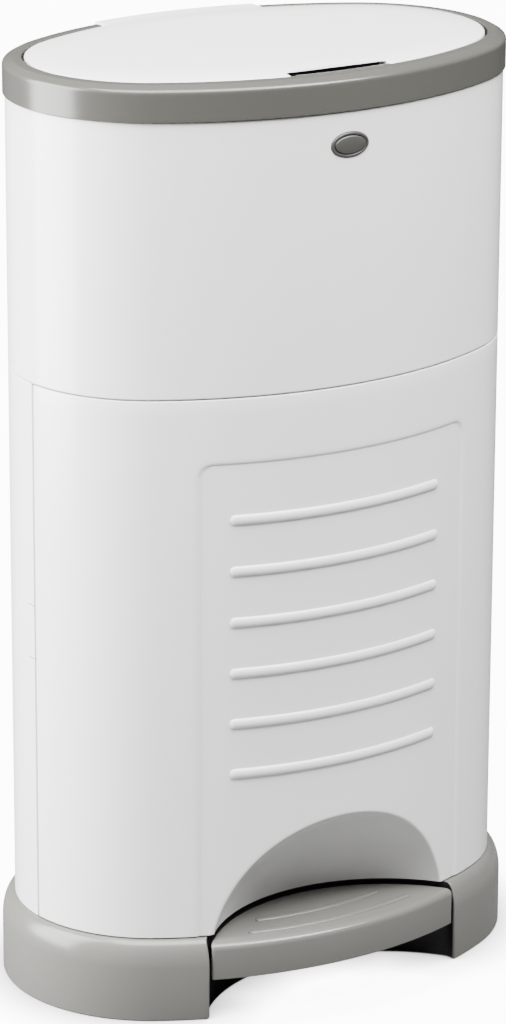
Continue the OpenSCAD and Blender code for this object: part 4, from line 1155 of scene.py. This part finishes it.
def grow(name, tree, finish, points=((0, 0, 0),), **values):
    # Runs a geometry tree once and keeps the mesh that comes out
    made = newObject(name, points, [])
    modifier = made.modifiers.new(name, "NODES")
    modifier.node_group = tree
    values["Material"] = finishes[finish]
    for item in tree.interface.items_tree:
        label = item.name.replace(" ", "_")
        if item.in_out == "INPUT" and label in values:
            modifier[item.identifier] = values[label]
    bake(made)
    return made


arcBars = makeArcBars()
ribs = {"count": 6, "low": 162.5, "pitch": 33.55, "half": 76.5, "high": 6.6, "rise": 1.7}
ridges = {"in": (-7.6, -25.6), "sweep": (29.0, 24.0), "wide": 5.0, "rise": 1.2}


def makeRibs():
    def bars(name, finish, count, low, radius, sweep, rise, half, end, points):
        return grow(name, arcBars, finish, First_centre=(0, flatCentre * mm, low * mm),
                    Step=(0, 0, ribs["pitch"] * mm), Count=count, Radius=radius * mm, Sweep=sweep,
                    Rise=rise * mm, Half_width=half * mm, Round_end=end * mm, Points=points)

    radius, half, wide = flatRadius - door["panelDepth"], ribs["high"] / 2, ridges["wide"] / 2
    row = bars("doorRibs", "white_shell", ribs["count"], ribs["low"], radius,
               2 * math.asin(ribs["half"] / radius), ribs["rise"], half, half, 200)
    dress(row, "door", "white_shell", sharp=60)
    both = [bars("ridge", "grey_moulding", 1, pedal["top"], flatRadius + inset, math.radians(turn), wide,
                 ridges["rise"], wide, 160) for inset, turn in zip(ridges["in"], ridges["sweep"])]
    both = join("pedalRidges", *both)
    dress(both, "pedal", "grey_moulding", sharp=60)


makeRibs()
print("button, ribs and ridges made")


def makeCoilTree():
    tree, get = newShapeTree("coil", [
        ("Turns", "Float"), ("Coil radius", "Float"), ("Length", "Float"), ("Wire radius", "Float"),
        ("Start", "Vector"), ("Turned", "Vector"), ("Points per turn", "Int")])
    spiral = addNode(tree, "GeometryNodeCurveSpiral", Resolution=get["Points per turn"],
                     Rotations=get["Turns"], Start_Radius=get["Coil radius"], End_Radius=get["Coil radius"],
                     Height=get["Length"])
    wire = addNode(tree, "GeometryNodeCurvePrimitiveCircle", Resolution=10, Radius=get["Wire radius"])
    swept = addNode(tree, "GeometryNodeCurveToMesh", Curve=spiral, Profile_Curve=wire, Fill_Caps=True)
    placed = addNode(tree, "GeometryNodeTransform", Geometry=swept, Translation=get["Start"],
                     Rotation=get["Turned"])
    return endTree(tree, get, placed)


def makeCopyTree():
    tree, get = newShapeTree("copies", [("Piece", "Object"), ("Turn spread", "Float"), ("Seed", "Int")])
    piece = addNode(tree, "GeometryNodeObjectInfo", Object=get["Piece"])
    turn = addNode(tree, "FunctionNodeRandomValue", {"data_type": "FLOAT"}, Seed=get["Seed"])
    low, high = [s for s in turn.inputs if s.name in ("Min", "Max") and s.type == "VALUE"]
    low.default_value = 0.0
    tree.links.new(get["Turn spread"], high)
    amount = next(s for s in turn.outputs if s.type == "VALUE")
    angle = addNode(tree, "ShaderNodeCombineXYZ", Z=amount)
    return endTree(tree, get, addNode(tree, "GeometryNodeInstanceOnPoints", Points=get["Geometry"],
                                      Instance=piece.outputs["Geometry"], Rotation=angle))


coilTree, copyTree = makeCoilTree(), makeCopyTree()

# Springs: turns, coil radius, wire radius, start, direction, length and the node each one replaces
springs = {"pedal": (15, 4.7, 1.0, (-20, -30, 30), "X", 40.0, "pedal_return_spring"),
           "button": (3, 3.4, 0.5, (0, -97.0, 561.5), "Y", 3.95, "button_spring"),
           "flapLeft": (3.5, 2.4, 0.45, (-57, 8.4, 502.5), "Y", 4.2, "flap_spring_left"),
           "flapRight": (3.5, 2.4, 0.45, (57, 8.4, 502.5), "Y", 4.2, "flap_spring_right")}
bodies = frame["record"]["behaviour"]["bodies"]
ridesOf = {node: name for name, members in bodies.items() for node in members}


def makeSprings():
    turned = {"X": (0, math.pi / 2, 0), "Y": (-math.pi / 2, 0, 0)}
    for name, (turns, radius, wire, start, axis, length, node) in springs.items():
        along = Vector((1, 0, 0)) if axis == "X" else Vector((0, 1, 0))
        coil = grow(name + "Spring", coilTree, "steel", Turns=float(turns), Coil_radius=radius * mm,
                    Length=(length - 2 * wire) * mm, Wire_radius=wire * mm,
                    Start=(Vector(start) + along * wire) * mm, Turned=turned[axis], Points_per_turn=24)
        dress(coil, ridesOf[node], "steel", node, sharp=60)


makeSprings()

# Screws: a pan head with a cross recess, a core and a wound thread. Node, z, length, radius, head's radius
screws = {"baseScrews": ("base_screws", 50.2, 16.0, 1.55, 3.4),
          "casingScrews": ("casing_screws", 406.3, 10.0, 1.55, 3.4),
          "leverScrews": ("lever_screws", 44.7, 4.6, 1.55, 3.4),
          "hopperScrews": ("hopper_screws", 596.1, 6.0, 1.2, 2.8)}
screwShape = {"headHigh": 2.2, "pitch": 1.4, "threadDepth": 0.35, "recess": (3.6, 0.8, 1.1),
              "recessHead": 3.4, "tip": 1.2, "runOut": 0.8, "leverX": 20.0, "leverY": (-90.0, -70.0),
              "rimAngle": 35.0, "rimInset": 4.6, "seed": 7}


def makeScrew(length, radius, head):
    high, deep, tip = screwShape["headHigh"], screwShape["threadDepth"], screwShape["tip"]
    core = radius - deep
    section = [(0, -high), (0.45 * head, -high), (0.8 * head, -0.85 * high), (0.96 * head, -0.5 * high),
               (head, -0.2), (head, 0), (core, 0), (core, length - tip), (0.35 * core, length), (0, length)]
    solid = lathe("screw", section, steps=24)
    long, wide, sunk = (v * head / screwShape["recessHead"] for v in screwShape["recess"])
    for x, y in ((long / 2, wide / 2), (wide / 2, long / 2)):
        cut(solid, block((-x, -y, -high - 1), (x, y, -high + sunk)))
    run = length - tip - screwShape["runOut"]
    thread = grow("thread", coilTree, "steel", Turns=run / screwShape["pitch"], Coil_radius=core * mm,
                  Length=run * mm, Wire_radius=deep * mm, Start=(0, 0, 0.5 * mm), Turned=(0, 0, 0),
                  Points_per_turn=16)
    return join("screw", solid, thread)


def screwPlaces(name):
    sides = (-1, 1)
    if name == "leverScrews":
        return [(side * screwShape["leverX"], y) for side in sides for y in screwShape["leverY"]]
    if name == "hopperScrews":
        turn, reach = math.radians(screwShape["rimAngle"]), endRadius - screwShape["rimInset"]
        x, y = endCentre + reach * math.cos(turn), reach * math.sin(turn)
        return [(sx * x, sy * y) for sx in sides for sy in sides]
    return bossPlaces()


def scatter(name, pattern, points, turn, seed, finish, node, sharp):
    # Puts a copy of the pattern at each point and gives the row to its node's place
    copies = grow(name, copyTree, finish, points, Piece=pattern, Turn_spread=turn, Seed=seed)
    discard(pattern)
    dress(copies, ridesOf[node], finish, node, sharp=sharp)


def makeScrews():
    for name, (node, z, length, radius, head) in screws.items():
        points = [(x, y, z) for x, y in screwPlaces(name)]
        screw = makeScrew(length, radius, head)
        scatter(name, screw, points, math.pi, screwShape["seed"], "steel", node, 35)


makeScrews()

# Rubber feet: a ribbed pad with a plug that snaps into the base
feet = {"radius": 10.0, "high": 3.0, "plug": 4.0, "top": 11.0, "x": 132.0, "y": 38.0, "groove": 0.35}


def makeFeet():
    radius, high, plug, top, groove = (feet[k] for k in ("radius", "high", "plug", "top", "groove"))
    section = [(0, 0.0), (2.4, 0.0), (2.8, groove), (3.6, groove), (4.0, 0), (6.2, 0), (6.6, groove),
               (7.4, groove), (7.8, 0), (radius - 0.7, 0), (radius - 0.2, 0.2), (radius, 0.7),
               (radius, high - 0.5), (radius - 0.15, high - 0.15), (radius - 0.5, high), (plug, high),
               (plug, top - 1.4), (plug - 0.4, top - 0.6), (plug - 1.2, top), (0, top)]
    points = [(sx * feet["x"], sy * feet["y"], 0) for sx in (-1, 1) for sy in (-1, 1)]
    scatter("rubberFeet", lathe("foot", section, steps=48), points, 0.0, 1, "rubber", "rubber_feet", 30)


makeFeet()

# Film: gathered in fine pleats round the cassette's channel
film = {"inner": 72.4, "outer": 84.6, "low": 430.8, "high": 469.5, "pleats": 96, "wave": 0.9, "layers": 22,
        "fold": 0.45, "topWave": 0.3, "y": -4.0, "steps": 768}


def makeFilm():
    inner, outer, high, wave = (film[k] for k in ("inner", "outer", "high", "wave"))
    heights = np.linspace(film["low"], high, film["layers"] * 2 + 1)
    zigzag = film["fold"] * (np.arange(len(heights)) % 2)
    middle = (outer + inner) / 2
    section = [(outer - wave - step, z, 1) for step, z in zip(zigzag, heights)]
    section += [(middle + 2, high + 0.1, 0), (middle - 2, high + 0.1, 0)]
    section += [(inner + wave + step, z, -1) for step, z in zip(zigzag, heights)][::-1]
    radii, zs, sides = np.array(section).T
    loops = []
    for turn in fullTurn(film["steps"]):
        ripple = wave * np.sin(film["pleats"] * turn)
        radius = radii + sides * ripple
        z = zs + film["topWave"] * (ripple - 1) * (zs > high - 1)
        loops.append(np.stack([radius * math.cos(turn), film["y"] + radius * math.sin(turn), z], 1))
    pack = skin("filmPack", loops, ring=True)
    dress(pack, ridesOf["film_pack"], "film", "film_pack", sharp=50)


makeFilm()
print("springs, screws, feet and film made")
